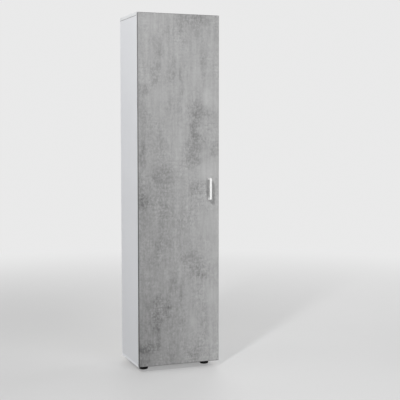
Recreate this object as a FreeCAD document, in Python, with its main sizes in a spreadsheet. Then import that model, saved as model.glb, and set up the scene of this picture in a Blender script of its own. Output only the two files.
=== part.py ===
import FreeCAD, Part

import math
import os

import Sketcher
from FreeCAD import Rotation, Vector

# Tall cabinet with one door, millimetres.
# +X runs to the right of someone who faces the door, +Y from the door to the back, +Z up.
# The origin is the middle of the floor print, handle included.

SIZES = {
    # carcass of melamine board
    "carcass_width": 455.0,
    "carcass_depth": 305.0,
    "carcass_height": 1872.0,
    "board_thick": 16.0,
    "shelf_front_inset": 22.0,
    "shelf_end_play": 0.8,
    "shelf_rear_play": 1.0,
    # back panel of thin fibre board
    "back_thick": 3.0,
    "back_inset": 10.0,
    "groove_deep": 6.0,
    "groove_play": 0.2,
    "groove_end_play": 0.5,
    "back_seam": 1.0,
    "nail_radius": 0.8,
    "nail_length": 18.0,
    "nail_head_radius": 2.5,
    "nail_head_thick": 0.8,
    "nail_end_inset": 60.0,
    "nail_edge_inset": 4.0,
    "nail_play": 0.1,
    # cam locks, cam bolts and dowels in the board ends
    "cam_radius": 7.5,
    "cam_thick": 12.0,
    "cam_play": 0.1,
    "cam_setback": 34.0,
    "cam_inset": 96.0,
    "cam_slot_radius": 3.7,
    "cam_cross_wide": 2.0,
    "cam_cross_deep": 2.5,
    "bolt_hole_radius": 4.0,
    "bolt_radius": 2.5,
    "bolt_head_radius": 3.4,
    "bolt_head_long": 3.0,
    "bolt_collar_radius": 3.8,
    "bolt_collar_long": 2.0,
    "bolt_thread_radius": 2.9,
    "bolt_thread_long": 11.0,
    "bolt_play": 0.1,
    "dowel_radius": 4.0,
    "dowel_long": 30.0,
    "dowel_in_face": 10.0,
    "dowel_play": 0.1,
    "dowel_end_play": 0.5,
    "dowel_chamfer": 1.0,
    "dowel_offset": 32.0,
    # shelf pins
    "pin_radius": 2.5,
    "pin_in_board": 9.0,
    "pin_rest_radius": 3.5,
    "pin_rest_long": 9.0,
    "pin_chamfer": 0.6,
    "pin_play": 0.1,
    "pin_seat_gap": 0.1,
    "pin_inset": 37.0,
    "pin_pitch": 32.0,
    # feet
    "foot_height": 28.0,
    "foot_radius": 24.5,
    "foot_toe_radius": 22.5,
    "foot_toe_high": 4.0,
    "foot_well_radius": 8.0,
    "foot_roof": 8.0,
    "foot_inset_side": 52.0,
    "foot_inset_front": 72.0,
    "foot_screw_play": 0.3,
    # wood screws
    "screw_radius": 2.0,
    "screw_head_radius": 4.0,
    "screw_head_high": 2.6,
    "screw_bite": 12.0,
    "screw_play": 0.1,
    "screw_tip_long": 3.0,
    "screw_cross_wide": 1.0,
    "screw_cross_long": 4.6,
    "screw_cross_deep": 1.3,
    # wall bracket under the top panel
    "bracket_wide": 20.0,
    "bracket_long": 34.0,
    "bracket_tall": 42.0,
    "bracket_thick": 2.0,
    "bracket_hole_radius": 2.75,
    "bracket_hole_inset": 12.0,
    # door
    "door_thick": 16.0,
    "door_gap": 2.0,
    "door_reveal_side": 1.0,
    "door_reveal_top": 3.0,
    "door_reveal_bottom": 5.0,
    "band_thick": 1.0,
    "bumper_radius": 4.0,
    "bumper_play": 0.2,
    "bumper_chamfer": 0.5,
    "bumper_inset_end": 60.0,
    # bow handle
    "handle_long": 118.0,
    "handle_reach": 32.0,
    "handle_wide": 10.0,
    "handle_grip_thick": 6.5,
    "handle_post_thick": 10.5,
    "handle_corner": 9.0,
    "handle_inner_corner": 4.0,
    "handle_round": 1.4,
    "handle_inset": 57.5,
    "handle_rise": 8.0,
    "handle_hole_radius": 2.1,
    "handle_hole_deep": 12.0,
    "handle_screw_radius": 2.0,
    "handle_screw_bite": 8.0,
    "handle_screw_hole_radius": 2.25,
    "handle_screw_head_radius": 4.2,
    "handle_screw_head_high": 1.4,
    # concealed hinges: where they stand
    "hinge_end_inset": 100.0,
    # hinge cup in the door
    "cup_edge_inset": 22.5,
    "cup_radius": 17.5,
    "cup_deep": 11.5,
    "cup_floor": 0.6,
    "cup_wall": 1.0,
    "cup_play": 0.1,
    "cup_slot_wide": 15.2,
    "flange_radius": 19.0,
    "flange_thick": 1.0,
    "flange_wide": 14.0,
    "flange_long": 60.0,
    "flange_screw_offset": 6.0,
    "flange_screw_span": 24.0,
    "flange_screw_bite": 9.0,
    # hinge pins and the link between arm and cup
    "hinge_pin_radius": 1.25,
    "hinge_pin_play": 0.05,
    "arm_pin_offset": 8.0,
    "arm_pin_deep": 4.0,
    "cup_pin_offset": 11.0,
    "cup_pin_deep": 3.5,
    "cup_pin_bite": 2.6,
    "link_thick": 1.5,
    "link_radius": 3.0,
    "link_waist": 1.8,
    "link_bend_offset": 5.5,
    "link_bend_deep": 8.0,
    "link_gap": 0.3,
    # hinge arm, a channel that clips over the rail of its plate
    "arm_wide": 14.0,
    "arm_sheet": 1.5,
    "arm_back": 62.0,
    "arm_skirt": 3.0,
    "arm_crown": 3.2,
    "arm_neck_front": 6.0,
    "arm_neck_back": 16.0,
    "arm_brow_along": 8.0,
    "arm_brow_out": 9.0,
    "arm_web_front": 0.5,
    "arm_nose_radius": 3.4,
    "arm_seat": 0.2,
    "arm_screw_radius": 2.4,
    "arm_screw_head_radius": 4.2,
    "arm_screw_head_high": 2.0,
    "arm_screw_play": 0.1,
    "arm_screw_along": 50.0,
    # mounting plate on the side
    "plate_thick": 2.0,
    "plate_wing_wide": 12.0,
    "plate_wing_long": 44.0,
    "plate_screw_span": 16.0,
    "plate_screw_inset": 37.0,
    "plate_rail_front": 24.0,
    "plate_rail_back": 58.0,
    "plate_rail_play": 0.2,
    "plate_screw_bite": 11.0,
    # how far a cutting tool runs past a face
    "overrun": 2.0,
}

SHELF_ROWS = ("lower_shelf_1", "lower_shelf_2", "upper_shelf_1", "upper_shelf_2")
COMPARTMENTS = 6
# how far up its bay each middle hinge stands, counted from the fixed shelf
HINGE_BAY_SHARE = 0.74
HALF = 0.5
EDGE_REACH = 0.01


class Length:
    """A length kept both as a sheet expression and as a number."""

    def __init__(self, text, value):
        self.text = text
        self.value = value

    def __add__(self, other):
        return Length("(%s + %s)" % (self.text, words(other)), self.value + number(other))

    def __radd__(self, other):
        return Length("(%s + %s)" % (words(other), self.text), number(other) + self.value)

    def __sub__(self, other):
        return Length("(%s - %s)" % (self.text, words(other)), self.value - number(other))

    def __rsub__(self, other):
        return Length("(%s - %s)" % (words(other), self.text), number(other) - self.value)

    def __mul__(self, other):
        return Length("(%s * %s)" % (self.text, words(other)), self.value * number(other))

    __rmul__ = __mul__

    def __truediv__(self, other):
        return Length("(%s / %s)" % (self.text, words(other)), self.value / number(other))

    def __neg__(self):
        return Length("(0 - %s)" % self.text, -self.value)


def words(thing):
    """Give the expression of a length, or of a plain number."""
    return thing.text if isinstance(thing, Length) else repr(thing)


def number(thing):
    """Give the value of a length, or of a plain number."""
    return thing.value if isinstance(thing, Length) else thing


doc = FreeCAD.newDocument("tall_cabinet")
sheet = doc.addObject("Spreadsheet::Sheet", "sizes")
for row, (alias, value) in enumerate(SIZES.items(), 1):
    sheet.set("A%d" % row, alias)
    sheet.set("B%d" % row, repr(value))
    sheet.setAlias("B%d" % row, alias)
doc.recompute()


class Sizes:
    """The lengths of the sheet, by name."""


size = Sizes()
for alias, value in SIZES.items():
    setattr(size, alias, Length("sizes." + alias, value))

# Places that several pieces share.
side_high = size.carcass_height - size.board_thick
inner_wide = size.carcass_width - size.board_thick * 2
half_wide = size.carcass_width * HALF
full_depth = size.handle_reach + size.door_thick + size.door_gap + size.carcass_depth
carcass_back = full_depth * HALF
carcass_front = carcass_back - size.carcass_depth
door_inner = carcass_front - size.door_gap
door_front = door_inner - size.door_thick
back_rear = carcass_back - size.back_inset
back_front = back_rear - size.back_thick
inner_depth = back_front - carcass_front
floor_top = size.foot_height + size.board_thick
roof_under = size.foot_height + side_high
bay_high = (roof_under - floor_top - size.board_thick * (COMPARTMENTS - 1)) / COMPARTMENTS
bay_pitch = bay_high + size.board_thick
middle_under = floor_top + bay_pitch * COMPARTMENTS * HALF - size.board_thick
door_wide = size.carcass_width - size.door_reveal_side * 2
door_left = size.door_reveal_side - half_wide
door_low = size.foot_height + size.door_reveal_bottom
door_high = size.carcass_height - size.door_reveal_bottom - size.door_reveal_top
door_middle = door_low + door_high * HALF
left_face = size.board_thick - half_wide
right_face = half_wide - size.board_thick
hinge_x = door_left + size.cup_edge_inset
hinge_ends = door_high * HALF - size.hinge_end_inset
board_middle = size.board_thick * HALF
seam_middle = middle_under + board_middle
hinge_mid = board_middle + bay_high * HINGE_BAY_SHARE
HINGES = (
    ("bottom", door_middle - hinge_ends),
    ("lower", seam_middle - hinge_mid),
    ("upper", seam_middle + hinge_mid),
    ("top", door_middle + hinge_ends),
)
handle_x = door_left + door_wide - size.handle_inset
handle_low = door_middle + size.handle_rise - size.handle_long * HALF
foot_xs = (size.foot_inset_side - half_wide, half_wide - size.foot_inset_side)
foot_ys = (carcass_front + size.foot_inset_front, carcass_back - size.foot_inset_front)
cam_ys = (size.cam_inset, inner_depth - size.cam_inset)
dowel_ys = (size.cam_inset + size.dowel_offset, inner_depth - size.cam_inset - size.dowel_offset)
pin_ys = (size.pin_inset, inner_depth - size.pin_inset)
nail_xs = (size.nail_end_inset, inner_wide * HALF, inner_wide - size.nail_end_inset)
shelf_unders = []
for step in range(1, COMPARTMENTS):
    if step * 2 != COMPARTMENTS:
        shelf_unders.append(floor_top + bay_pitch * step - size.board_thick)


def facing(out, along):
    """Turn a loose piece so that its +Z points out and its +X points along."""
    return Rotation(along, out.cross(along), out, "ZXY")


TO_RIGHT = Vector(1, 0, 0)
TO_BACK = Vector(0, 1, 0)
TO_TOP = Vector(0, 0, 1)
UP = facing(TO_TOP, TO_RIGHT)
DOWN = facing(-TO_TOP, TO_RIGHT)
RIGHT = facing(TO_RIGHT, TO_TOP)
LEFT = facing(-TO_RIGHT, TO_TOP)
BACK = facing(TO_BACK, TO_RIGHT)
FRONT = facing(-TO_BACK, TO_RIGHT)
nodes = []


def bind(thing, prop, length):
    """Tie a property to its length; a plain 0 needs no tie."""
    if isinstance(length, Length):
        thing.setExpression(prop, length.text)


def place(thing, x, y, z):
    """Put an object at its place with bound coordinates."""
    bind(thing, ".Placement.Base.x", x)
    bind(thing, ".Placement.Base.y", y)
    bind(thing, ".Placement.Base.z", z)


def keep(thing, label):
    """Name a finished sub-part and remember it."""
    thing.Label = label
    nodes.append(thing)
    return thing


def start_body(label, x, y, z):
    """Begin a body whose own origin lies at x, y, z."""
    made = doc.addObject("PartDesign::Body", label)
    place(made, x, y, z)
    return keep(made, label)


def start_sketch(made, role, raised=0):
    """Open a sketch on one of the body's origin planes, raised along its normal."""
    plane = [item for item in made.Origin.OriginFeatures if item.Role == role][0]
    drawn = made.newObject("Sketcher::SketchObject", made.Name + "_sketch")
    drawn.AttachmentSupport = [(plane, "")]
    drawn.MapMode = "FlatFace"
    bind(drawn, "AttachmentOffset.Base.z", raised)
    return drawn


def drive(drawn, kind, places, length):
    """Add a dimension to a sketch and tie it to a length."""
    index = drawn.addConstraint(Sketcher.Constraint(kind, *places, number(length)))
    bind(drawn, "Constraints[%d]" % index, length)


def draw_outline(drawn, corners):
    """Draw a closed outline of straight lines through corners of bound coordinates."""
    first = drawn.GeometryCount
    count = len(corners)
    spots = [Vector(number(x), number(y), 0) for x, y in corners]
    for index in range(count):
        line = Part.LineSegment(spots[index], spots[(index + 1) % count])
        drawn.addGeometry(line, False)
    for index, (x, y) in enumerate(corners):
        after = first + (index + 1) % count
        drawn.addConstraint(Sketcher.Constraint("Coincident", first + index, 2, after, 1))
        drive(drawn, "DistanceX", (-1, 1, first + index, 1), x)
        drive(drawn, "DistanceY", (-1, 1, first + index, 1), y)


def draw_box(drawn, x, y, wide, high):
    """Draw a rectangle from its low corner."""
    draw_outline(drawn, ((x, y), (x + wide, y), (x + wide, y + high), (x, y + high)))


def draw_circles(drawn, radius, spots):
    """Draw equal circles at spots."""
    for x, y in spots:
        ring = Part.Circle(Vector(number(x), number(y), 0), TO_TOP, number(radius))
        index = drawn.addGeometry(ring, False)
        drive(drawn, "Radius", (index,), radius)
        drive(drawn, "DistanceX", (-1, 1, index, 3), x)
        drive(drawn, "DistanceY", (-1, 1, index, 3), y)


def pad(made, drawn, thick):
    """Raise a sketch into a plate along its normal."""
    raised = made.newObject("PartDesign::Pad", made.Name + "_pad")
    raised.Profile = drawn
    bind(raised, "Length", thick)
    doc.recompute()
    return raised


def pocket(made, drawn, deep, along_normal):
    """Cut a sketch into the body, along the sketch's normal or against it."""
    before = made.Shape.Volume
    cut = made.newObject("PartDesign::Pocket", made.Name + "_pocket")
    cut.Profile = drawn
    bind(cut, "Length", deep)
    cut.Reversed = along_normal
    doc.recompute()
    if made.Shape.Volume >= before:
        raise RuntimeError("a pocket of %s cuts nothing" % made.Label)
    return cut


def drill(made, role, raised, along_normal, deep, radius, spots):
    """Drill equal holes from a flat face."""
    drawn = start_sketch(made, role, raised)
    draw_circles(drawn, radius, spots)
    return pocket(made, drawn, deep, along_normal)


def turn(made, profile):
    """Turn a closed profile of radius and height about the body's own Z axis."""
    drawn = start_sketch(made, "XZ_Plane")
    draw_outline(drawn, profile)
    turned = made.newObject("PartDesign::Revolution", made.Name + "_turned")
    turned.Profile = drawn
    turned.ReferenceAxis = (drawn, ["V_Axis"])
    turned.Angle = 360
    doc.recompute()
    return turned


def turned_solid(profile):
    """Turn a closed profile of radius and height about Z into a plain solid."""
    spots = [Vector(number(radius), 0, number(high)) for radius, high in profile]
    face = Part.Face(Part.makePolygon(spots + spots[:1]))
    return face.revolve(Vector(0, 0, 0), Vector(0, 0, 1), 360)


def group(label, shape, spots):
    """Set out equal loose pieces as one sub-part, each at its spot and turned its way."""
    copies = []
    for x, y, z, turned_to in spots:
        copy = shape.copy()
        copy.Placement = FreeCAD.Placement(Vector(number(x), number(y), number(z)), turned_to)
        copies.append(copy)
    made = doc.addObject("Part::Feature", label)
    made.Shape = Part.makeCompound(copies)
    return keep(made, label)


def cross_cut(shape, top, wide, long, deep):
    """Cut a cross recess into the top of a screw head."""
    for across, along in ((wide, long), (long, wide)):
        tool = Part.makeBox(number(across), number(along), number(deep + size.overrun))
        tool.translate(Vector(number(-across * HALF), number(-along * HALF), number(top - deep)))
        shape = shape.cut(tool)
    return shape


def wood_screw(under_head):
    """Make a pan head wood screw whose head rests on the plane Z = 0 and points up."""
    shank = size.screw_radius
    point = shank * HALF
    profile = (
        (0, -under_head),
        (point, -under_head),
        (shank, size.screw_tip_long - under_head),
        (shank, 0),
        (size.screw_head_radius, 0),
        (size.screw_head_radius, size.screw_head_high * HALF),
        (size.screw_head_radius - size.screw_head_high * HALF, size.screw_head_high),
        (0, size.screw_head_high),
    )
    solid = turned_solid(profile)
    return cross_cut(solid, size.screw_head_high, size.screw_cross_wide, size.screw_cross_long,
                     size.screw_cross_deep)


# Carcass: boards.

cam_hole = size.cam_radius + size.cam_play
cam_hole_deep = size.cam_thick + size.cam_play
dowel_hole = size.dowel_radius + size.dowel_play
dowel_face_deep = size.dowel_in_face + size.dowel_end_play
dowel_end_deep = size.dowel_long - size.dowel_in_face + size.dowel_end_play
thread_hole = size.bolt_thread_radius + size.bolt_play
thread_deep = size.bolt_thread_long + size.bolt_play
nail_hole = size.nail_radius + size.nail_play
screw_hole = size.screw_radius + size.screw_play
groove_wide = size.back_thick + size.groove_play * 2
groove_at = inner_depth - size.groove_play
fixed_lows = (0, middle_under - size.foot_height)


def build_side(label, x, face, inward):
    """Build one side; face is the depth of its inner face, inward tells if that faces +X."""
    made = start_body(label, x, carcass_front, size.foot_height)
    drawn = start_sketch(made, "YZ_Plane")
    draw_box(drawn, 0, 0, size.carcass_depth, side_high)
    pad(made, drawn, size.board_thick)
    drawn = start_sketch(made, "YZ_Plane", face)
    draw_box(drawn, groove_at, 0, groove_wide, side_high)
    pocket(made, drawn, size.groove_deep, not inward)
    rows = []
    for under in shelf_unders:
        pin_high = under - size.pin_seat_gap - size.pin_rest_radius - size.foot_height
        rows += [pin_high - size.pin_pitch, pin_high, pin_high + size.pin_pitch]
    spots = [(y, z) for y in pin_ys for z in rows]
    drill(made, "YZ_Plane", face, not inward, size.pin_in_board + size.pin_play,
          size.pin_radius + size.pin_play, spots)
    cam_high = side_high - size.cam_setback
    drill(made, "YZ_Plane", face, not inward, cam_hole_deep, cam_hole, [(y, cam_high) for y in cam_ys])
    lifts = [low + board_middle for low in fixed_lows]
    drill(made, "YZ_Plane", face, not inward, thread_deep, thread_hole,
          [(y, z) for y in cam_ys for z in lifts])
    drill(made, "YZ_Plane", face, not inward, dowel_face_deep, dowel_hole,
          [(y, z) for y in dowel_ys for z in lifts])
    if inward:
        spots = []
        for _, high in HINGES:
            for way in (-1, 1):
                spots.append((size.plate_screw_inset, high + size.plate_screw_span * way - size.foot_height))
        drill(made, "YZ_Plane", face, not inward, size.plate_screw_bite + size.screw_play, screw_hole, spots)
    drill(made, "XY_Plane", side_high, False, size.cam_setback, size.bolt_hole_radius,
          [(board_middle, y) for y in cam_ys])
    drill(made, "XY_Plane", side_high, False, dowel_end_deep, dowel_hole,
          [(board_middle, y) for y in dowel_ys])
    return made


def build_fixed_board(label, low):
    """Build a board that is cam locked between the sides."""
    made = start_body(label, left_face, carcass_front, low)
    drawn = start_sketch(made, "XY_Plane")
    draw_box(drawn, 0, 0, inner_wide, inner_depth)
    pad(made, drawn, size.board_thick)
    spots = [(x, y) for x in (size.cam_setback, inner_wide - size.cam_setback) for y in cam_ys]
    drill(made, "XY_Plane", 0, True, cam_hole_deep, cam_hole, spots)
    for raised, inward in ((0, True), (inner_wide, False)):
        drill(made, "YZ_Plane", raised, inward, size.cam_setback, size.bolt_hole_radius,
              [(y, board_middle) for y in cam_ys])
        drill(made, "YZ_Plane", raised, inward, dowel_end_deep, dowel_hole,
              [(y, board_middle) for y in dowel_ys])
    return made


left_side = build_side("left_side", -half_wide, size.board_thick, True)
right_side = build_side("right_side", right_face, 0, False)

bottom_panel = build_fixed_board("bottom_panel", size.foot_height)
foot_spots = [(x - left_face, y - carcass_front) for x in foot_xs for y in foot_ys]
drill(bottom_panel, "XY_Plane", 0, True, size.screw_bite + size.screw_play, screw_hole, foot_spots)
middle_shelf = build_fixed_board("middle_shelf", middle_under)

nail_bite = size.nail_length - size.back_thick
nail_rows = (
    (bottom_panel, size.foot_height, (board_middle,)),
    (middle_shelf, middle_under, (size.nail_edge_inset, size.board_thick - size.nail_edge_inset)),
)
nail_spots = []
for made, low, lifts in nail_rows:
    spots = [(x, z) for x in nail_xs for z in lifts]
    drill(made, "XZ_Plane", -inner_depth, True, nail_bite + size.nail_play, nail_hole, spots)
    for x, z in spots:
        nail_spots.append((left_face + x, back_rear, low + z, BACK))

top_panel = start_body("top_panel", -half_wide, carcass_front, roof_under)
drawn = start_sketch(top_panel, "XY_Plane")
draw_box(drawn, 0, 0, size.carcass_width, size.carcass_depth)
pad(top_panel, drawn, size.board_thick)
drawn = start_sketch(top_panel, "XY_Plane")
draw_box(drawn, size.board_thick - size.groove_deep, groove_at,
         inner_wide + size.groove_deep * 2, groove_wide)
pocket(top_panel, drawn, size.groove_deep, True)
edge_xs = (board_middle, size.carcass_width - board_middle)
drill(top_panel, "XY_Plane", 0, True, thread_deep, thread_hole,
      [(x, y) for x in edge_xs for y in cam_ys])
drill(top_panel, "XY_Plane", 0, True, dowel_face_deep, dowel_hole,
      [(x, y) for x in edge_xs for y in dowel_ys])
bracket_screw_y = inner_depth - size.bracket_long + size.bracket_hole_inset
drill(top_panel, "XY_Plane", 0, True, size.screw_bite - size.bracket_thick + size.screw_play, screw_hole,
      [(half_wide, bracket_screw_y)])

# Carcass: back panel in two halves.

back_wide = inner_wide + (size.groove_deep - size.groove_end_play) * 2
back_left = left_face - size.groove_deep + size.groove_end_play
lower_back_high = seam_middle - size.back_seam * HALF - size.foot_height
upper_back_low = seam_middle + size.back_seam * HALF
upper_back_high = roof_under + size.groove_deep - size.groove_end_play - upper_back_low
wall_hole_high = roof_under - size.bracket_tall + size.bracket_hole_inset


def build_back(label, low, high):
    """Build one half of the back panel with its nail holes."""
    made = start_body(label, back_left, back_rear, low)
    drawn = start_sketch(made, "XZ_Plane")
    draw_box(drawn, 0, 0, back_wide, high)
    pad(made, drawn, size.back_thick)
    spots = []
    for x, y, z, _ in nail_spots:
        if low.value < z.value < (low + high).value:
            spots.append((x - back_left, z - low))
    drill(made, "XZ_Plane", 0, True, size.back_thick, nail_hole, spots)
    return made


build_back("lower_back_panel", size.foot_height, lower_back_high)
upper_back = build_back("upper_back_panel", upper_back_low, upper_back_high)
drill(upper_back, "XZ_Plane", 0, True, size.back_thick, size.bracket_hole_radius,
      [(-back_left, wall_hole_high - upper_back_low)])

nail = turned_solid((
    (0, -size.nail_length),
    (size.nail_radius * HALF, -size.nail_length),
    (size.nail_radius, size.nail_radius * 2 - size.nail_length),
    (size.nail_radius, 0),
    (size.nail_head_radius, 0),
    (size.nail_head_radius * HALF, size.nail_head_thick),
    (0, size.nail_head_thick),
))
group("back_panel_nails", nail, nail_spots)

# Carcass: adjustable shelves and their pins.

shelf_wide = inner_wide - size.shelf_end_play * 2
shelf_deep = inner_depth - size.shelf_front_inset - size.shelf_rear_play
for label, under in zip(SHELF_ROWS, shelf_unders):
    shelf = start_body(label, left_face + size.shelf_end_play, carcass_front + size.shelf_front_inset, under)
    drawn = start_sketch(shelf, "XY_Plane")
    draw_box(drawn, 0, 0, shelf_wide, shelf_deep)
    pad(shelf, drawn, size.board_thick)

shelf_pin = turned_solid((
    (0, -size.pin_in_board),
    (size.pin_radius - size.pin_chamfer, -size.pin_in_board),
    (size.pin_radius, size.pin_chamfer - size.pin_in_board),
    (size.pin_radius, 0),
    (size.pin_rest_radius, 0),
    (size.pin_rest_radius, size.pin_rest_long - size.pin_chamfer),
    (size.pin_rest_radius - size.pin_chamfer, size.pin_rest_long),
    (0, size.pin_rest_long),
))
pin_spots = []
for under in shelf_unders:
    high = under - size.pin_seat_gap - size.pin_rest_radius
    for y in pin_ys:
        pin_spots.append((left_face, carcass_front + y, high, RIGHT))
        pin_spots.append((right_face, carcass_front + y, high, LEFT))
group("shelf_pins", shelf_pin, pin_spots)

# Carcass: cam locks, cam bolts and dowels.

board_ends = []
for low in (size.foot_height, middle_under):
    for face, into, away in ((left_face, LEFT, 1), (right_face, RIGHT, -1)):
        board_ends.append((face, low, into, away))

cam_spots = []
bolt_spots = []
dowel_spots = []
for face, low, into, away in board_ends:
    for y in cam_ys:
        cam_x = face + size.cam_setback * away
        cam_spots.append((cam_x, carcass_front + y, low, facing(-TO_TOP, TO_RIGHT * -away)))
        bolt_spots.append((face, carcass_front + y, low + board_middle, into))
    for y in dowel_ys:
        dowel_spots.append((face, carcass_front + y, low + board_middle, into))
for face, away in ((left_face, 1), (right_face, -1)):
    edge_x = face - board_middle * away
    for y in cam_ys:
        cam_high = roof_under - size.cam_setback
        cam_spots.append((face, carcass_front + y, cam_high, facing(TO_RIGHT * away, TO_TOP)))
        bolt_spots.append((edge_x, carcass_front + y, roof_under, UP))
    for y in dowel_ys:
        dowel_spots.append((edge_x, carcass_front + y, roof_under, UP))

cam = turned_solid((
    (0, -size.cam_thick),
    (size.cam_radius, -size.cam_thick),
    (size.cam_radius, 0),
    (0, 0),
))
cam_slot = Part.makeCylinder(size.cam_slot_radius.value, (size.cam_radius + size.overrun * 2).value,
                             Vector((-size.overrun * HALF).value, 0, (-board_middle).value), TO_RIGHT)
cam = cross_cut(cam.cut(cam_slot), 0, size.cam_cross_wide, size.cam_radius, size.cam_cross_deep)
group("cam_locks", cam, cam_spots)

bolt_head_low = size.bolt_head_long - size.cam_setback
cam_bolt = turned_solid((
    (0, -size.cam_setback),
    (size.bolt_head_radius, -size.cam_setback),
    (size.bolt_head_radius, bolt_head_low),
    (size.bolt_radius, bolt_head_low),
    (size.bolt_radius, -size.bolt_collar_long),
    (size.bolt_collar_radius, -size.bolt_collar_long),
    (size.bolt_collar_radius, 0),
    (size.bolt_thread_radius, 0),
    (size.bolt_thread_radius, size.bolt_thread_long - size.bolt_thread_radius * HALF),
    (size.bolt_thread_radius * HALF, size.bolt_thread_long),
    (0, size.bolt_thread_long),
))
group("cam_bolts", cam_bolt, bolt_spots)

dowel_low = size.dowel_in_face - size.dowel_long
dowel = turned_solid((
    (0, dowel_low),
    (size.dowel_radius - size.dowel_chamfer, dowel_low),
    (size.dowel_radius, dowel_low + size.dowel_chamfer),
    (size.dowel_radius, size.dowel_in_face - size.dowel_chamfer),
    (size.dowel_radius - size.dowel_chamfer, size.dowel_in_face),
    (0, size.dowel_in_face),
))
group("wood_dowels", dowel, dowel_spots)

# Feet: a tapered cup with a deep well for its screw.

foot_sides = (("left", foot_xs[0]), ("right", foot_xs[1]))
foot_rows = (("front", foot_ys[0]), ("rear", foot_ys[1]))
foot_ceiling = size.foot_height - size.foot_roof
for row_name, y in foot_rows:
    for side_name, x in foot_sides:
        foot = start_body("foot_%s_%s" % (row_name, side_name), x, y, 0)
        turn(foot, (
            (size.foot_well_radius, 0),
            (size.foot_toe_radius, 0),
            (size.foot_radius, size.foot_toe_high),
            (size.foot_radius, size.foot_height),
            (size.screw_radius + size.foot_screw_play, size.foot_height),
            (size.screw_radius + size.foot_screw_play, foot_ceiling),
            (size.foot_well_radius, foot_ceiling),
        ))
group("foot_screws", wood_screw(size.foot_roof + size.screw_bite),
      [(x, y, foot_ceiling, DOWN) for x in foot_xs for y in foot_ys])

# Wall bracket: an angle under the top panel, against the back panel.

bracket = start_body("wall_bracket", -size.bracket_wide * HALF, back_front - size.bracket_long,
                     roof_under - size.bracket_tall)
drawn = start_sketch(bracket, "YZ_Plane")
draw_outline(drawn, (
    (0, size.bracket_tall - size.bracket_thick),
    (size.bracket_long - size.bracket_thick, size.bracket_tall - size.bracket_thick),
    (size.bracket_long - size.bracket_thick, 0),
    (size.bracket_long, 0),
    (size.bracket_long, size.bracket_tall),
    (0, size.bracket_tall),
))
pad(bracket, drawn, size.bracket_wide)
bracket_middle = size.bracket_wide * HALF
drill(bracket, "XY_Plane", size.bracket_tall - size.bracket_thick, True, size.bracket_thick,
      size.screw_radius + size.screw_play, [(bracket_middle, size.bracket_hole_inset)])
drill(bracket, "XZ_Plane", size.bracket_thick - size.bracket_long, False, size.bracket_thick,
      size.bracket_hole_radius, [(bracket_middle, size.bracket_hole_inset)])
group("wall_bracket_screw", wood_screw(size.screw_bite),
      [(0, carcass_front + bracket_screw_y, roof_under - size.bracket_thick, DOWN)])

# Door: board, edge bands, bumpers and handle.

core_wide = door_wide - size.band_thick * 2
core_high = door_high - size.band_thick * 2
core_left = door_left + size.band_thick
core_low = door_low + size.band_thick
door_panel = start_body("door_panel", core_left, door_inner, core_low)
drawn = start_sketch(door_panel, "XZ_Plane")
draw_box(drawn, 0, 0, core_wide, core_high)
pad(door_panel, drawn, size.door_thick)
hinge_lifts = [high - core_low for _, high in HINGES]
drill(door_panel, "XZ_Plane", 0, True, size.cup_deep + size.cup_play, size.cup_radius + size.cup_play,
      [(hinge_x - core_left, z) for z in hinge_lifts])
spots = []
for z in hinge_lifts:
    for way in (-1, 1):
        spots.append((hinge_x + size.flange_screw_offset - core_left, z + size.flange_screw_span * way))
drill(door_panel, "XZ_Plane", 0, True, size.flange_screw_bite + size.screw_play, screw_hole, spots)
handle_bolt_lows = (handle_low + size.handle_post_thick * HALF,
                    handle_low + size.handle_long - size.handle_post_thick * HALF)
drill(door_panel, "XZ_Plane", 0, True, size.door_thick, size.handle_screw_hole_radius,
      [(handle_x - core_left, z - core_low) for z in handle_bolt_lows])

bands = []
for name, x, z, wide, high in (
    ("band_left", door_left, door_low, size.band_thick, door_high),
    ("band_right", door_left + door_wide - size.band_thick, door_low, size.band_thick, door_high),
    ("band_bottom", core_left, door_low, core_wide, size.band_thick),
    ("band_top", core_left, door_low + door_high - size.band_thick, core_wide, size.band_thick),
):
    band = doc.addObject("Part::Box", name)
    bind(band, "Length", wide)
    bind(band, "Width", size.door_thick)
    bind(band, "Height", high)
    place(band, x, door_front, z)
    bands.append(band)
door_bands = doc.addObject("Part::Compound", "door_edge_bands")
door_bands.Links = bands
keep(door_bands, "door_edge_bands")

bumper_thick = size.door_gap - size.bumper_play
bumper = turned_solid((
    (0, 0),
    (size.bumper_radius, 0),
    (size.bumper_radius, bumper_thick - size.bumper_chamfer),
    (size.bumper_radius - size.bumper_chamfer, bumper_thick),
    (0, bumper_thick),
))
bumper_x = half_wide - board_middle
bumper_highs = (size.foot_height + size.bumper_inset_end, roof_under - size.bumper_inset_end)
group("door_bumpers", bumper, [(bumper_x, carcass_front, z, FRONT) for z in bumper_highs])

handle = start_body("handle", handle_x - size.handle_wide * HALF, door_front - size.handle_reach, handle_low)
drawn = start_sketch(handle, "YZ_Plane")
handle_top = size.handle_long - size.handle_post_thick
draw_outline(drawn, (
    (0, 0),
    (size.handle_reach, 0),
    (size.handle_reach, size.handle_post_thick),
    (size.handle_grip_thick, size.handle_post_thick),
    (size.handle_grip_thick, handle_top),
    (size.handle_reach, handle_top),
    (size.handle_reach, size.handle_long),
    (0, size.handle_long),
))
pad(handle, drawn, size.handle_wide)


def across_edges(made, depth, highs):
    """Name the edges that run along X at one depth and at given heights of a body's tip."""
    found = []
    for index, edge in enumerate(made.Tip.Shape.Edges, 1):
        ends = [vertex.Point for vertex in edge.Vertexes]
        if len(ends) != 2 or abs(ends[0].x - ends[1].x) < size.handle_round.value:
            continue
        if abs(ends[0].y - number(depth)) > EDGE_REACH:
            continue
        if min(abs(ends[0].z - number(high)) for high in highs) < EDGE_REACH:
            found.append("Edge%d" % index)
    return found


def soften(made, edges, radius):
    """Round named edges of a body's tip."""
    before = made.Tip
    rounded = made.newObject("PartDesign::Fillet", made.Name + "_round")
    rounded.Base = (before, edges)
    bind(rounded, "Radius", radius)
    made.Tip = rounded
    doc.recompute()
    return rounded


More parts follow.
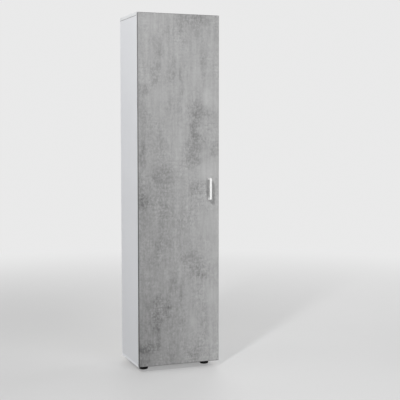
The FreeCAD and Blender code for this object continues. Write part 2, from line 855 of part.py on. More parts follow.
soften(handle, across_edges(handle, 0, (0, size.handle_long)),
       size.handle_corner)
soften(handle, across_edges(handle, size.handle_grip_thick, (size.handle_post_thick, handle_top)),
       size.handle_inner_corner)
long_edges = []
for index, edge in enumerate(handle.Tip.Shape.Edges, 1):
    box = edge.BoundBox
    if box.XLength < EDGE_REACH and box.YMax < (size.handle_reach - size.handle_round).value:
        long_edges.append("Edge%d" % index)
    elif box.XLength < EDGE_REACH and box.ZLength < EDGE_REACH:
        long_edges.append("Edge%d" % index)
soften(handle, long_edges, size.handle_round)
drill(handle, "XZ_Plane", -size.handle_reach, True, size.handle_hole_deep, size.handle_hole_radius,
      [(size.handle_wide * HALF, z - handle_low) for z in handle_bolt_lows])

handle_screw_long = size.door_thick + size.handle_screw_bite
handle_screw = turned_solid((
    (0, -handle_screw_long),
    (size.handle_screw_radius * HALF, -handle_screw_long),
    (size.handle_screw_radius, size.handle_screw_radius - handle_screw_long),
    (size.handle_screw_radius, 0),
    (size.handle_screw_head_radius, 0),
    (size.handle_screw_radius, size.handle_screw_head_high),
    (0, size.handle_screw_head_high),
))
handle_screw = cross_cut(handle_screw, size.handle_screw_head_high, size.screw_cross_wide,
                         size.handle_screw_radius * 2, size.handle_screw_head_high * HALF)
group("handle_screws", handle_screw, [(handle_x, door_inner, z, BACK) for z in handle_bolt_lows])

# Hinges: each piece is drawn about the middle of its cup's mouth, with +Y into the cabinet.

side_in = left_face - hinge_x
cavity_deep = size.cup_deep - size.cup_floor
cavity_radius = size.cup_radius - size.cup_wall
slot_half = size.cup_slot_wide * HALF
arm_half = size.arm_wide * HALF
link_out = arm_half - size.arm_sheet - size.link_gap
link_in = link_out - size.link_thick
pin_hole = size.hinge_pin_radius + size.hinge_pin_play
arm_pin = (size.arm_pin_offset, -size.arm_pin_deep)
cup_pin = (-size.cup_pin_offset, -size.cup_pin_deep)
rail_top = size.arm_crown - size.arm_sheet - size.arm_seat
rail_half = arm_half - size.arm_sheet - size.plate_rail_play


def draw_slot(drawn, radius, half):
    """Draw a circle's middle, cut off flat above and below at half."""
    reach = math.sqrt(radius.value ** 2 - half.value ** 2)
    tilt = math.atan2(half.value, reach)
    ring = Part.Circle(Vector(0, 0, 0), TO_TOP, radius.value)
    right = Part.ArcOfCircle(ring, -tilt, tilt)
    left = Part.ArcOfCircle(ring, math.pi - tilt, math.pi + tilt)
    drawn.addGeometry(right, False)
    drawn.addGeometry(Part.LineSegment(Vector(reach, half.value, 0), Vector(-reach, half.value, 0)), False)
    drawn.addGeometry(left, False)
    drawn.addGeometry(Part.LineSegment(Vector(-reach, -half.value, 0), Vector(reach, -half.value, 0)), False)
    for one, one_end, other, other_end in ((0, 2, 1, 1), (1, 2, 2, 1), (2, 2, 3, 1), (3, 2, 0, 1)):
        drawn.addConstraint(Sketcher.Constraint("Coincident", one, one_end, other, other_end))
    drawn.addConstraint(Sketcher.Constraint("Coincident", 0, 3, -1, 1))
    drawn.addConstraint(Sketcher.Constraint("Coincident", 2, 3, -1, 1))
    drawn.addConstraint(Sketcher.Constraint("Horizontal", 1))
    drive(drawn, "Radius", (0,), radius)
    drive(drawn, "DistanceY", (-1, 1, 0, 2), half)
    drive(drawn, "DistanceY", (3, 1, -1, 1), half)


def build_cup(label, high):
    """Build the cup with its flange, its slot for the link and the bores for its pin."""
    made = start_body(label, hinge_x, door_inner, high)
    drawn = start_sketch(made, "XZ_Plane")
    draw_circles(drawn, size.cup_radius, ((0, 0),))
    pad(made, drawn, size.cup_deep)
    drawn = start_sketch(made, "XZ_Plane", -size.flange_thick)
    draw_circles(drawn, size.flange_radius, ((0, 0),))
    pad(made, drawn, size.flange_thick)
    drawn = start_sketch(made, "XZ_Plane", -size.flange_thick)
    draw_box(drawn, size.flange_screw_offset - size.flange_wide * HALF, -size.flange_long * HALF,
             size.flange_wide, size.flange_long)
    pad(made, drawn, size.flange_thick)
    drawn = start_sketch(made, "XZ_Plane", -size.flange_thick)
    draw_slot(drawn, cavity_radius, slot_half)
    pocket(made, drawn, cavity_deep + size.flange_thick, True)
    spots = [(size.flange_screw_offset, size.flange_screw_span * way) for way in (-1, 1)]
    drill(made, "XZ_Plane", -size.flange_thick, True, size.flange_thick, screw_hole, spots)
    bore = slot_half + size.cup_pin_bite + size.hinge_pin_play
    drill(made, "XY_Plane", -bore, True, bore * 2, pin_hole, (cup_pin,))
    return made


def build_arm(label, high):
    """Build the arm: a channel over the rail whose nose dips into the cup."""
    made = start_body(label, hinge_x, door_inner, high)
    drawn = start_sketch(made, "XY_Plane", -arm_half)
    neck = size.arm_neck_back
    nose_out = size.arm_pin_offset + size.arm_nose_radius
    nose_deep = size.arm_pin_deep + size.arm_nose_radius
    draw_outline(drawn, (
        (-size.arm_skirt, size.arm_back),
        (-size.arm_skirt, size.arm_neck_front),
        (size.arm_pin_offset - size.arm_nose_radius, -size.arm_pin_deep),
        (size.arm_pin_offset - size.arm_nose_radius * HALF, -nose_deep),
        (size.arm_pin_offset + size.arm_nose_radius * HALF, -nose_deep),
        (nose_out, -size.arm_pin_deep),
        (size.arm_brow_out, size.arm_brow_along),
        (size.arm_crown, neck),
        (size.arm_crown, size.arm_back),
    ))
    pad(made, drawn, size.arm_wide)
    drawn = start_sketch(made, "XY_Plane", size.arm_sheet - arm_half)
    inner_crown = size.arm_crown - size.arm_sheet
    draw_outline(drawn, (
        (-size.arm_skirt - size.overrun, size.arm_back + size.overrun),
        (-size.arm_skirt - size.overrun, -nose_deep - size.overrun),
        (nose_out + size.overrun, -nose_deep - size.overrun),
        (nose_out + size.overrun, size.arm_web_front),
        (size.arm_pin_offset, size.arm_web_front),
        (size.arm_brow_out - size.arm_sheet, size.arm_brow_along - size.arm_sheet * HALF),
        (inner_crown, neck - size.arm_sheet * HALF),
        (inner_crown, size.arm_back + size.overrun),
    ))
    pocket(made, drawn, size.arm_wide - size.arm_sheet * 2, True)
    drill(made, "XY_Plane", -arm_half, True, size.arm_wide, pin_hole, (arm_pin,))
    drill(made, "YZ_Plane", inner_crown, True, size.arm_sheet, size.arm_screw_radius + size.arm_screw_play,
          ((size.arm_screw_along, 0),))
    return made


def build_plate(label, high):
    """Build the mounting plate: two wings on the side and a rail for the arm."""
    made = start_body(label, hinge_x, door_inner, high)
    wing_front = size.door_gap + size.plate_screw_inset - size.plate_wing_wide * HALF
    drawn = start_sketch(made, "YZ_Plane", side_in)
    draw_box(drawn, wing_front, -size.plate_wing_long * HALF, size.plate_wing_wide, size.plate_wing_long)
    pad(made, drawn, size.plate_thick)
    drawn = start_sketch(made, "YZ_Plane", side_in)
    draw_box(drawn, size.plate_rail_front, -rail_half,
             size.plate_rail_back - size.plate_rail_front, rail_half * 2)
    pad(made, drawn, rail_top - side_in)
    spots = [(size.door_gap + size.plate_screw_inset, size.plate_screw_span * way) for way in (-1, 1)]
    drill(made, "YZ_Plane", side_in, True, size.plate_thick, screw_hole, spots)
    drill(made, "YZ_Plane", side_in, True, rail_top - side_in, size.arm_screw_radius + size.arm_screw_play,
          ((size.arm_screw_along, 0),))
    return made


def bar_between(start, end, half):
    """Give the corners of a straight bar between two points, half wide on each side."""
    run_x = (end[0] - start[0]).value
    run_y = (end[1] - start[1]).value
    run = math.hypot(run_x, run_y)
    aside_x = half * (-run_y / run)
    aside_y = half * (run_x / run)
    return (
        (start[0] - aside_x, start[1] - aside_y),
        (end[0] - aside_x, end[1] - aside_y),
        (end[0] + aside_x, end[1] + aside_y),
        (start[0] + aside_x, start[1] + aside_y),
    )


def build_link(label, high):
    """Build the link: two cranked plates inside the arm, joined by a sleeve round the cup's pin."""
    made = start_body(label, hinge_x, door_inner, high)
    bend = (-size.link_bend_offset, -size.link_bend_deep)
    for low, sleeve_long in ((-link_out, link_out * 2), (link_in, size.link_thick)):
        drawn = start_sketch(made, "XY_Plane", low)
        draw_circles(drawn, size.link_radius, (cup_pin,))
        pad(made, drawn, sleeve_long)
        for start, end in ((cup_pin, bend), (bend, arm_pin)):
            drawn = start_sketch(made, "XY_Plane", low)
            draw_outline(drawn, bar_between(start, end, size.link_waist))
            pad(made, drawn, size.link_thick)
            drawn = start_sketch(made, "XY_Plane", low)
            draw_circles(drawn, size.link_waist if end is bend else size.link_radius, (end,))
            pad(made, drawn, size.link_thick)
    drill(made, "XY_Plane", -link_out, True, link_out * 2, pin_hole, (arm_pin, cup_pin))
    return made


for name, high in HINGES:
    build_cup("hinge_cup_" + name, high)
    build_arm("hinge_arm_" + name, high)
    build_plate("hinge_plate_" + name, high)
    build_link("hinge_link_" + name, high)


def pin_profile(half):
    """Give the profile of a straight pin with a little chamfer."""
    edge = size.hinge_pin_radius * HALF
    return (
        (0, -half),
        (edge, -half),
        (size.hinge_pin_radius, edge - half),
        (size.hinge_pin_radius, half - edge),
        (edge, half),
        (0, half),
    )


group("hinge_arm_pins", turned_solid(pin_profile(arm_half)),
      [(hinge_x + arm_pin[0], door_inner + arm_pin[1], high, UP) for _, high in HINGES])
group("hinge_cup_pins", turned_solid(pin_profile(slot_half + size.cup_pin_bite)),
      [(hinge_x + cup_pin[0], door_inner + cup_pin[1], high, UP) for _, high in HINGES])

plate_screw_spots = []
cup_screw_spots = []
for _, high in HINGES:
    for way in (-1, 1):
        plate_screw_spots.append((left_face + size.plate_thick, carcass_front + size.plate_screw_inset,
                                  high + size.plate_screw_span * way, RIGHT))
        cup_screw_spots.append((hinge_x + size.flange_screw_offset, door_inner + size.flange_thick,
                                high + size.flange_screw_span * way, BACK))
group("hinge_plate_screws", wood_screw(size.plate_thick + size.plate_screw_bite), plate_screw_spots)
group("hinge_cup_screws", wood_screw(size.flange_thick + size.flange_screw_bite), cup_screw_spots)

arm_screw_long = size.arm_crown - side_in - size.plate_thick * HALF
arm_screw = turned_solid((
    (0, -arm_screw_long),
    (size.arm_screw_radius, -arm_screw_long),
    (size.arm_screw_radius, 0),
    (size.arm_screw_head_radius, 0),
    (size.arm_screw_head_radius, size.arm_screw_head_high * HALF),
    (size.arm_screw_radius, size.arm_screw_head_high),
    (0, size.arm_screw_head_high),
))
arm_screw = cross_cut(arm_screw, size.arm_screw_head_high, size.screw_cross_wide, size.arm_screw_radius * 2,
                      size.arm_screw_head_high * HALF)
arm_screw_y = door_inner + size.arm_screw_along
group("hinge_arm_screws", arm_screw,
      [(hinge_x + size.arm_crown, arm_screw_y, high, RIGHT) for _, high in HINGES])

# Every object has to be sound before a file is written.

doc.recompute()
for item in doc.Objects:
    if "Invalid" in item.State or "Error" in item.State:
        raise RuntimeError("%s is not sound: %s" % (item.Name, item.State))
os.makedirs("parts", exist_ok=True)
for made in nodes:
    if made.Shape.isNull() or not made.Shape.isValid():
        raise RuntimeError("%s has no valid shape" % made.Label)
for made in nodes:
    made.Shape.exportStep("parts/%s.step" % made.Label)
    print("%-24s %3d solid(s) %12.1f mm3" % (made.Label, len(made.Shape.Solids), made.Shape.Volume))
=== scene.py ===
"""Tall cabinet with a concrete decor door, dressed and lit for its photograph."""
import logging
import math
from dataclasses import dataclass
from enum import Enum
from typing import Any, Callable, Iterable, Optional, Sequence, Union

import bpy
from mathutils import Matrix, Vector


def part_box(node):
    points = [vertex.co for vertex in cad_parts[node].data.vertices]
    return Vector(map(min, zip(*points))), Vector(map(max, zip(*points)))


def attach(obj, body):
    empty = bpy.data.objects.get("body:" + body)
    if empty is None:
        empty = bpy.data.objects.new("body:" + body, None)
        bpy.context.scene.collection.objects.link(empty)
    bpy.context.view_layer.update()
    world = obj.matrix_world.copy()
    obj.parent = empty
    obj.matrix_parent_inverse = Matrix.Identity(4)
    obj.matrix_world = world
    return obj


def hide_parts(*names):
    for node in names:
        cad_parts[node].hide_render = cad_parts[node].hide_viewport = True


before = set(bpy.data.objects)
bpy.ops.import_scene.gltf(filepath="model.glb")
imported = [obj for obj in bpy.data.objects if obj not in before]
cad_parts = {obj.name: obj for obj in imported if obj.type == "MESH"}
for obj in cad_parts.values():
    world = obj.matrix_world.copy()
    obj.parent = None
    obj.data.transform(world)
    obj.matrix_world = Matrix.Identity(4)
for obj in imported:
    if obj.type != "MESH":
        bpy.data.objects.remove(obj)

LOG = logging.getLogger("tall_cabinet")
Colour = tuple[float, float, float]
Triple = tuple[float, float, float]
Span = tuple[float, float]
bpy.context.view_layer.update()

# nearly all of a noise from 0 to 1 lies between these two
NOISE_SPAN: Span = (0.3, 0.7)
MM_PER_M = 1000.0


class Body(Enum):
    """The rigid bodies that new pieces ride on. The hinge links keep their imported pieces."""

    CARCASS = "carcass"
    DOOR = "door"


class Axis(Enum):
    """The axis that a board's two broad faces look along."""

    X = 0
    Z = 2


# Shader arithmetic


class Signal:
    """One output of a shader node that can be used in plain arithmetic."""

    def __init__(self, recipe: "Recipe", socket: bpy.types.NodeSocket) -> None:
        """Wrap a socket.

        Args:
            recipe: the material that the socket belongs to.
            socket: the output to wrap.
        """
        self.recipe = recipe
        self.socket = socket

    def _math(self, operation: str, first: "Value", second: "Value") -> "Signal":
        """Add one Math node.

        Args:
            operation: the node's operation.
            first: the first value.
            second: the second value.

        Returns:
            The node's result.
        """
        return self.recipe.node("ShaderNodeMath", {"operation": operation},
                                {0: first, 1: second})

    def __add__(self, other: "Value") -> "Signal":
        """Add."""
        return self._math("ADD", self, other)

    __radd__ = __add__

    def __sub__(self, other: "Value") -> "Signal":
        """Subtract."""
        return self._math("SUBTRACT", self, other)

    def __rsub__(self, other: "Value") -> "Signal":
        """Subtract from a number."""
        return self._math("SUBTRACT", other, self)

    def __mul__(self, other: "Value") -> "Signal":
        """Multiply."""
        return self._math("MULTIPLY", self, other)

    __rmul__ = __mul__

    def __truediv__(self, other: "Value") -> "Signal":
        """Divide."""
        return self._math("DIVIDE", self, other)

    def __pow__(self, other: "Value") -> "Signal":
        """Raise to a power."""
        return self._math("POWER", self, other)

    def above(self, limit: float) -> "Signal":
        """Give 1 where the signal is over a limit, else 0.

        Args:
            limit: the limit.

        Returns:
            The mask.
        """
        return self._math("GREATER_THAN", self, limit)

    def below(self, limit: float) -> "Signal":
        """Give 1 where the signal is under a limit, else 0.

        Args:
            limit: the limit.

        Returns:
            The mask.
        """
        return self._math("LESS_THAN", self, limit)

    def size(self) -> "Signal":
        """Give the signal without its sign.

        Returns:
            The absolute value.
        """
        return self._math("ABSOLUTE", self, 0.0)

    def either(self, other: "Value") -> "Signal":
        """Give the larger of two signals at each place.

        Args:
            other: the other signal or number.

        Returns:
            The larger one.
        """
        return self._math("MAXIMUM", self, other)

    def both(self, other: "Value") -> "Signal":
        """Give the smaller of two signals at each place.

        Args:
            other: the other signal or number.

        Returns:
            The smaller one.
        """
        return self._math("MINIMUM", self, other)

    def ease(self, low: float, high: float, at_low: float = 0.0,
             at_high: float = 1.0) -> "Signal":
        """Turn a range into another with a soft start and end.

        Args:
            low: where the change starts.
            high: where it ends.
            at_low: the result at the start.
            at_high: the result at the end.

        Returns:
            The eased signal, held at both ends.
        """
        return self.recipe.node("ShaderNodeMapRange",
                                {"interpolation_type": "SMOOTHSTEP", "clamp": True},
                                {"Value": self, "From Min": low, "From Max": high,
                                 "To Min": at_low, "To Max": at_high})


Value = Union[float, Signal]


@dataclass(frozen=True)
class Grain:
    """One noise pattern.

    Attributes:
        scale: how many times it repeats in a metre.
        detail: how many octaves it has.
        rough: how strong the fine octaves are.
        stretch: how the place is scaled on each axis before.
        warp: its distortion.
    """

    scale: float
    detail: float = 3.0
    rough: float = 0.6
    stretch: Optional[Triple] = None
    warp: float = 0.0


class Recipe:
    """One node material in the making."""

    # a Mix node has sockets for numbers and vectors too; these are its colour sockets
    MIX_FACTOR, MIX_FIRST, MIX_SECOND, MIX_RESULT = 0, 6, 7, 2

    def __init__(self, name: str) -> None:
        """Start an empty material.

        Args:
            name: the material's name.
        """
        self.material = bpy.data.materials.new(name)
        self.material.use_nodes = True
        self.tree = self.material.node_tree
        self.tree.nodes.clear()
        self.output = self.tree.nodes.new("ShaderNodeOutputMaterial")
        self.surface = self.tree.nodes.new("ShaderNodeBsdfPrincipled")
        self.tree.links.new(self.surface.outputs[0], self.output.inputs[0])

    def node(self, kind: str, settings: Optional[dict[str, Any]] = None,
             values: Optional[dict[Union[int, str], Any]] = None,
             output: Union[int, str] = 0) -> Signal:
        """Add a node.

        Args:
            kind: the node's type.
            settings: properties of the node, set before its sockets.
            values: numbers, colours or signals for its input sockets.
            output: which output to return.

        Returns:
            The chosen output.
        """
        made = self.tree.nodes.new(kind)
        for name, setting in (settings or {}).items():
            setattr(made, name, setting)
        for key, value in (values or {}).items():
            self.feed(made.inputs[key], value)
        return Signal(self, made.outputs[output])

    def feed(self, socket: bpy.types.NodeSocket, value: Any) -> None:
        """Give a socket a link or a plain value.

        Args:
            socket: the input.
            value: a signal, a number, a colour or a vector.
        """
        if isinstance(value, Signal):
            self.tree.links.new(value.socket, socket)
        elif isinstance(value, tuple) and len(value) == 3 and socket.type == "RGBA":
            socket.default_value = (*value, 1.0)
        else:
            socket.default_value = value

    def place(self) -> Signal:
        """Give the place on the piece.

        Returns:
            The place as a vector, in metres.
        """
        return self.node("ShaderNodeTexCoord", output="Object")

    def split(self, vector: Signal) -> tuple[Signal, Signal, Signal]:
        """Take a vector apart.

        Args:
            vector: the vector.

        Returns:
            Its three parts.
        """
        parts = self.node("ShaderNodeSeparateXYZ", None, {0: vector}).socket.node
        return tuple(Signal(self, parts.outputs[index]) for index in range(3))

    def facing(self) -> tuple[Signal, Signal, Signal]:
        """Give the surface's direction on the piece.

        Returns:
            Its three parts.
        """
        return self.split(self.node("ShaderNodeTexCoord", output="Normal"))

    def stretch(self, vector: Signal, by: Triple, shift: Triple = (0.0, 0.0, 0.0)) -> Signal:
        """Scale and move a pattern's place.

        Args:
            vector: the place.
            by: the scale on each axis.
            shift: what is added afterwards.

        Returns:
            The new place.
        """
        return self.node("ShaderNodeVectorMath", {"operation": "MULTIPLY_ADD"},
                         {0: vector, 1: by, 2: shift})

    def noise(self, place: Signal, grain: Grain, output: Union[int, str] = 0) -> Signal:
        """Lay a noise from 0 to 1 on the piece.

        Args:
            place: the place on the piece.
            grain: the noise.
            output: Color for three noises in a vector, else the value.

        Returns:
            The noise.
        """
        where = self.stretch(place, grain.stretch) if grain.stretch else place
        return self.node("ShaderNodeTexNoise", {"noise_dimensions": "3D"},
                         {"Vector": where, "Scale": grain.scale, "Detail": grain.detail,
                          "Roughness": grain.rough, "Distortion": grain.warp}, output)

    def mix(self, factor: Value, first: Any, second: Any) -> Signal:
        """Mix two colours.

        Args:
            factor: 0 for the first, 1 for the second.
            first: a colour or signal.
            second: a colour or signal.

        Returns:
            The mixed colour.
        """
        made = self.tree.nodes.new("ShaderNodeMix")
        made.data_type = "RGBA"
        for key, value in ((self.MIX_FACTOR, factor), (self.MIX_FIRST, first),
                           (self.MIX_SECOND, second)):
            self.feed(made.inputs[key], value)
        return Signal(self, made.outputs[self.MIX_RESULT])

    def shade(self, colour: Colour, tone: Value) -> Signal:
        """Multiply a colour by a tone.

        Args:
            colour: the colour.
            tone: how bright it is, 1 for as written.

        Returns:
            The toned colour.
        """
        return self.node("ShaderNodeVectorMath", {"operation": "SCALE"},
                         {0: colour, "Scale": tone})

    def bump(self, height: Signal, depth: float, strength: float) -> None:
        """Give the surface a relief.

        Args:
            height: the relief, from 0 to 1.
            depth: how deep 1 is, in metres.
            strength: how strongly it shows.
        """
        relief = self.node("ShaderNodeBump", None,
                           {"Strength": strength, "Distance": depth, "Height": height})
        self.feed(self.surface.inputs["Normal"], relief)

    def surface_of(self, **values: Any) -> bpy.types.Material:
        """Set the shader's sockets.

        Args:
            values: socket names, with an underscore for a space.

        Returns:
            The finished material.
        """
        for name, value in values.items():
            socket = name.replace("_", " ").title().replace("Ior", "IOR")
            self.feed(self.surface.inputs[socket], value)
        return self.material


# Finishes

PEEL = Grain(260.0, 2.0, 0.5)
SCRATCHES = Grain(900.0)


@dataclass(frozen=True)
class RawChipboard:
    """The cut edge of particle board, between its denser skins."""

    pale: Colour = (0.50, 0.36, 0.22)
    dark: Colour = (0.22, 0.14, 0.08)
    chips: Grain = Grain(420.0, 3.0, 0.7)
    flakes: Grain = Grain(900.0, 2.0, 0.6, (1.0, 1.0, 0.35))
    chip_share: float = 0.6
    contrast: Span = (0.38, 0.62)

    def colour(self, recipe: Recipe, place: Signal) -> Signal:
        """Give the speckled colour.

        Args:
            recipe: the material.
            place: the place on the piece.

        Returns:
            The colour.
        """
        chips = recipe.noise(place, self.chips) * self.chip_share
        flakes = recipe.noise(place, self.flakes) * (1.0 - self.chip_share)
        return recipe.mix((chips + flakes).ease(*self.contrast), self.dark, self.pale)


@dataclass(frozen=True)
class Melamine:
    """White melamine faces with edge bands on chosen edges and raw board on the others.

    The front edge has a band, and so have the edges at the X places in ends. Where a joint height
    is given, a dark line just below it is painted shade of the seam under the top panel. Where a
    foot height is given, a strip just above it is paler, a painted highlight of light from the
    floor.
    """

    name: str
    axis: Axis
    front: float
    ends: tuple[float, ...] = ()
    joint: Optional[float] = None
    painted_sheen_base: Optional[float] = None
    colour: Colour = (0.755, 0.765, 0.79)
    band_colour: Colour = (0.77, 0.78, 0.79)
    band_thick: float = 0.001
    broad_face: float = 0.7
    seam_wide: float = 0.00035
    seam_depth: float = 0.10
    # painted shade of the seam under the top panel: the band below the joint and its tone
    seam_shadow_span: Span = (0.0024, 0.0016)
    seam_shadow_tone: float = 0.10
    # painted highlight of light from the floor along the board's foot: its height span and
    # brightness
    painted_sheen_span: Span = (0.011, 0.015)
    painted_sheen_tone: float = 1.20
    cloud: Grain = Grain(3.0, 2.0, 0.5)
    cloud_tone: Span = (0.985, 1.01)
    grit: Grain = Grain(700.0, 2.0, 0.6)
    peel_share: float = 0.25
    relief: float = 0.0003
    relief_strength: float = 0.35
    rough: Span = (0.42, 0.50)
    band_rough: float = 0.12
    raw_rough: float = 0.5
    most_rough: float = 0.95

    def tone(self, recipe: Recipe, place: Signal, seam: Signal) -> Signal:
        """Give the brightness of the white sheet.

        Args:
            recipe: the material.
            place: the place on the board.
            seam: 1 on the line between sheet and front band, else 0.

        Returns:
            The tone, about 1.
        """
        height = recipe.split(place)[2]
        cloud = recipe.noise(place, self.cloud)
        tone = cloud.ease(*NOISE_SPAN, *self.cloud_tone) - seam * self.seam_depth
        # painted shade: a dark line just below the joint, for the seam under the top panel
        if self.joint is not None:
            start, end = (self.joint - below for below in self.seam_shadow_span)
            tone = tone * height.ease(start, end, 1.0, self.seam_shadow_tone)
        # painted highlight: a paler strip just above the foot, for light from the floor
        if self.painted_sheen_base is not None:
            start, end = (self.painted_sheen_base + above for above in self.painted_sheen_span)
            tone = tone * height.ease(start, end, self.painted_sheen_tone, 1.0)
        return tone

    def dress(self) -> bpy.types.Material:
        """Make the material.

        Returns:
            The finished material.
        """
        recipe = Recipe(self.name)
        place = recipe.place()
        across = recipe.split(place)
        flat = recipe.facing()[self.axis.value].size().above(self.broad_face)
        banded = across[1].below(self.front + self.band_thick)
        for end in self.ends:
            banded = banded.either((across[0] - end).size().below(self.band_thick))
        raw = (1.0 - flat) * (1.0 - banded)
        off_seam = (across[1] - (self.front + self.band_thick)).size()
        seam = off_seam.ease(0.0, self.seam_wide, 1.0, 0.0) * flat
        sheet = recipe.shade(self.colour, self.tone(recipe, place, seam))
        skin = recipe.mix(banded, sheet, self.band_colour)
        edge = RawChipboard().colour(recipe, place)
        peel = recipe.noise(place, PEEL)
        grit = recipe.noise(place, self.grit)
        recipe.bump(peel * (1.0 - raw) * self.peel_share + grit * raw, self.relief,
                    self.relief_strength)
        rough = peel.ease(*NOISE_SPAN, *self.rough) + banded * self.band_rough
        rough = (rough + raw * self.raw_rough).both(self.most_rough)
        return recipe.surface_of(base_color=recipe.mix(raw, skin, edge), roughness=rough)


@dataclass(frozen=True)
class Patch:
    """One cloud of the decor, in millimetres from the door's top left.

    A depth below 0 is darker and one above 0 lighter, in steps of 255.
    """

    right: float
    down: float
    half_wide: float
    half_high: float
    depth: float


@dataclass(frozen=True)
class Layer:
    """One noise of the decor, with its swing in steps of 255.

    The swing grows by combed where the trowel left its marks, and by dark in dark clouds.
    """

    grain: Grain
    swing: float
    combed: float = 0.0
    dark: float = 0.0

    def swing_at(self, combed: Signal, dark: Signal) -> Value:
        """Give the swing at each place.

        Args:
            combed: 1 where the trowel left its marks, else 0.
            dark: 1 in dark clouds, else 0.

        Returns:
            The swing in steps of 255.
        """
        swing: Value = self.swing
        if self.combed:
            swing = combed * self.combed + swing
        if self.dark:
            swing = dark * self.dark + swing
        return swing


@dataclass(frozen=True)
class Concrete:
    """The door's melamine: concrete decor outside, plain white inside.

    Clouds and layers add up to steps of 255 around mean_step, where the colour is grey. A slope
    makes the decor darker towards the foot on the left of a pivot and lighter on its right: partly
    the decor's own darkening, partly painted shade and light from how the lamps fall on the door.
    """

    name: str
    left: float
    top: float
    front: float
    patches: tuple[Patch, ...]
    grey: Colour = (0.300, 0.300, 0.300)
    inside: Colour = (0.775, 0.785, 0.80)
    decor_thick: float = 0.0155
    drift: Grain = Grain(9.0, 4.0, 0.62)
    drift_reach: Triple = (0.075, 0.0, 0.10)
    patch_fade: Span = (0.35, 1.55)
    broad: Layer = Layer(Grain(7.0, 3.0, 0.55, (1.0, 1.0, 0.5)), 9.0)
    bands: Layer = Layer(Grain(42.0, 2.0, 0.5, (1.0, 1.0, 0.11)), 23.0)
    mottle: Layer = Layer(Grain(36.0, 5.0, 0.7, (1.0, 1.0, 0.8), 0.4), 38.0)
    grit: Layer = Layer(Grain(105.0, 2.0, 0.6, (1.0, 1.0, 0.72)), 27.0, 26.0)
    fine: Layer = Layer(Grain(260.0, 3.0, 0.65), 13.0, 12.0)
    streaks: Layer = Layer(Grain(75.0, 3.0, 0.6, (1.0, 1.0, 0.07)), 22.0)
    trowel: Layer = Layer(Grain(115.0, 2.0, 0.5, (0.14, 1.0, 1.0)), 5.0, 20.0, 18.0)
    pits: Layer = Layer(Grain(88.0, 2.0, 0.5, (1.0, 1.0, 0.8)), 4.0, dark=11.0)
    pit_span: Span = (0.60, 0.74)
    combed: Grain = Grain(6.0, 2.0, 0.5)
    combed_span: Span = (0.46, 0.62)
    speck_span: Span = (0.40, 0.60)
    speck_share: Span = (1.10, 0.42)
    dark_span: Span = (-5.0, -16.0)
    # slope of painted shade and light across the door, partly the decor's own darkening
    painted_slope_from: float = 0.30
    painted_slope: float = 42.0
    mean_step: float = 160.0
    least_tone: float = 0.2
    gamma: float = 2.2
    relief: float = 0.0004
    relief_strength: float = 0.3
    rough: Span = (0.50, 0.62)
    inside_relief: float = 0.3
    inside_gloss: float = 0.14

    def clouds(self, recipe: Recipe, place: Signal) -> Signal:
        """Add up the decor's clouds.

        Args:
            recipe: the material.
            place: the place on the door.

        Returns:
            How much lighter or darker the decor is, in steps of 255.
        """
        drift = recipe.noise(place, self.drift, "Color")
        moved = recipe.node("ShaderNodeVectorMath", {"operation": "MULTIPLY_ADD"},
                            {0: drift, 1: self.drift_reach, 2: place})
        depths = []
        for patch in self.patches:
            wide, high = patch.half_wide / MM_PER_M, patch.half_high / MM_PER_M
            x = self.left + patch.right / MM_PER_M + self.drift_reach[0] / 2
            z = self.top - patch.down / MM_PER_M + self.drift_reach[2] / 2
            near = recipe.stretch(moved, (1.0 / wide, 0.0, 1.0 / high),
                                  (-x / wide, 0.0, -z / high))
            far = recipe.node("ShaderNodeVectorMath", {"operation": "LENGTH"}, {0: near}, "Value")
            depths.append(far.ease(*self.patch_fade, patch.depth, 0.0))
        return sum(depths[1:], depths[0])

    def dress(self) -> bpy.types.Material:
        """Make the material.

        Returns:
            The finished material.
        """
        recipe = Recipe(self.name)
        place = recipe.place()
        x, y, z = recipe.split(place)
        clouds = self.clouds(recipe, place)
        combed = recipe.noise(place, self.combed).ease(*self.combed_span)
        dark = clouds.ease(*self.dark_span)
        mottle, grit, fine = (recipe.noise(place, layer.grain)
                              for layer in (self.mottle, self.grit, self.fine))
        specks = (grit * 0.5 + mottle * 0.5).ease(*self.speck_span, *self.speck_share)
        steps = clouds * specks
        noises = [(layer, recipe.noise(place, layer.grain))
                  for layer in (self.broad, self.bands, self.streaks, self.trowel)]
        noises += [(self.mottle, mottle), (self.grit, grit), (self.fine, fine)]
        for layer, noise in noises:
            steps = steps + (noise - 0.5) * layer.swing_at(combed, dark)
        pits = recipe.noise(place, self.pits.grain).ease(*self.pit_span)
        steps = steps - pits * self.pits.swing_at(combed, dark)
        # darker towards the foot on the left, lighter on the right: painted shade and light,
        # partly the decor's own darkening
        painted_slope = (self.top - z) * (x - self.left - self.painted_slope_from) * self.painted_slope
        tone = (1.0 + (steps + painted_slope) / self.mean_step).either(self.least_tone) ** self.gamma
        outside = recipe.shade(self.grey, tone)
        white = y.above(self.front + self.decor_thick)
        peel = recipe.noise(place, PEEL)
        decor_relief = (mottle * 0.5 + fine * 0.5) * (1.0 - white)
        recipe.bump(decor_relief + peel * white * self.inside_relief, self.relief,
                    self.relief_strength)
        rough = mottle.ease(*NOISE_SPAN, *self.rough) - white * self.inside_gloss
        return recipe.surface_of(base_color=recipe.mix(white, outside, self.inside),
                                 roughness=rough)


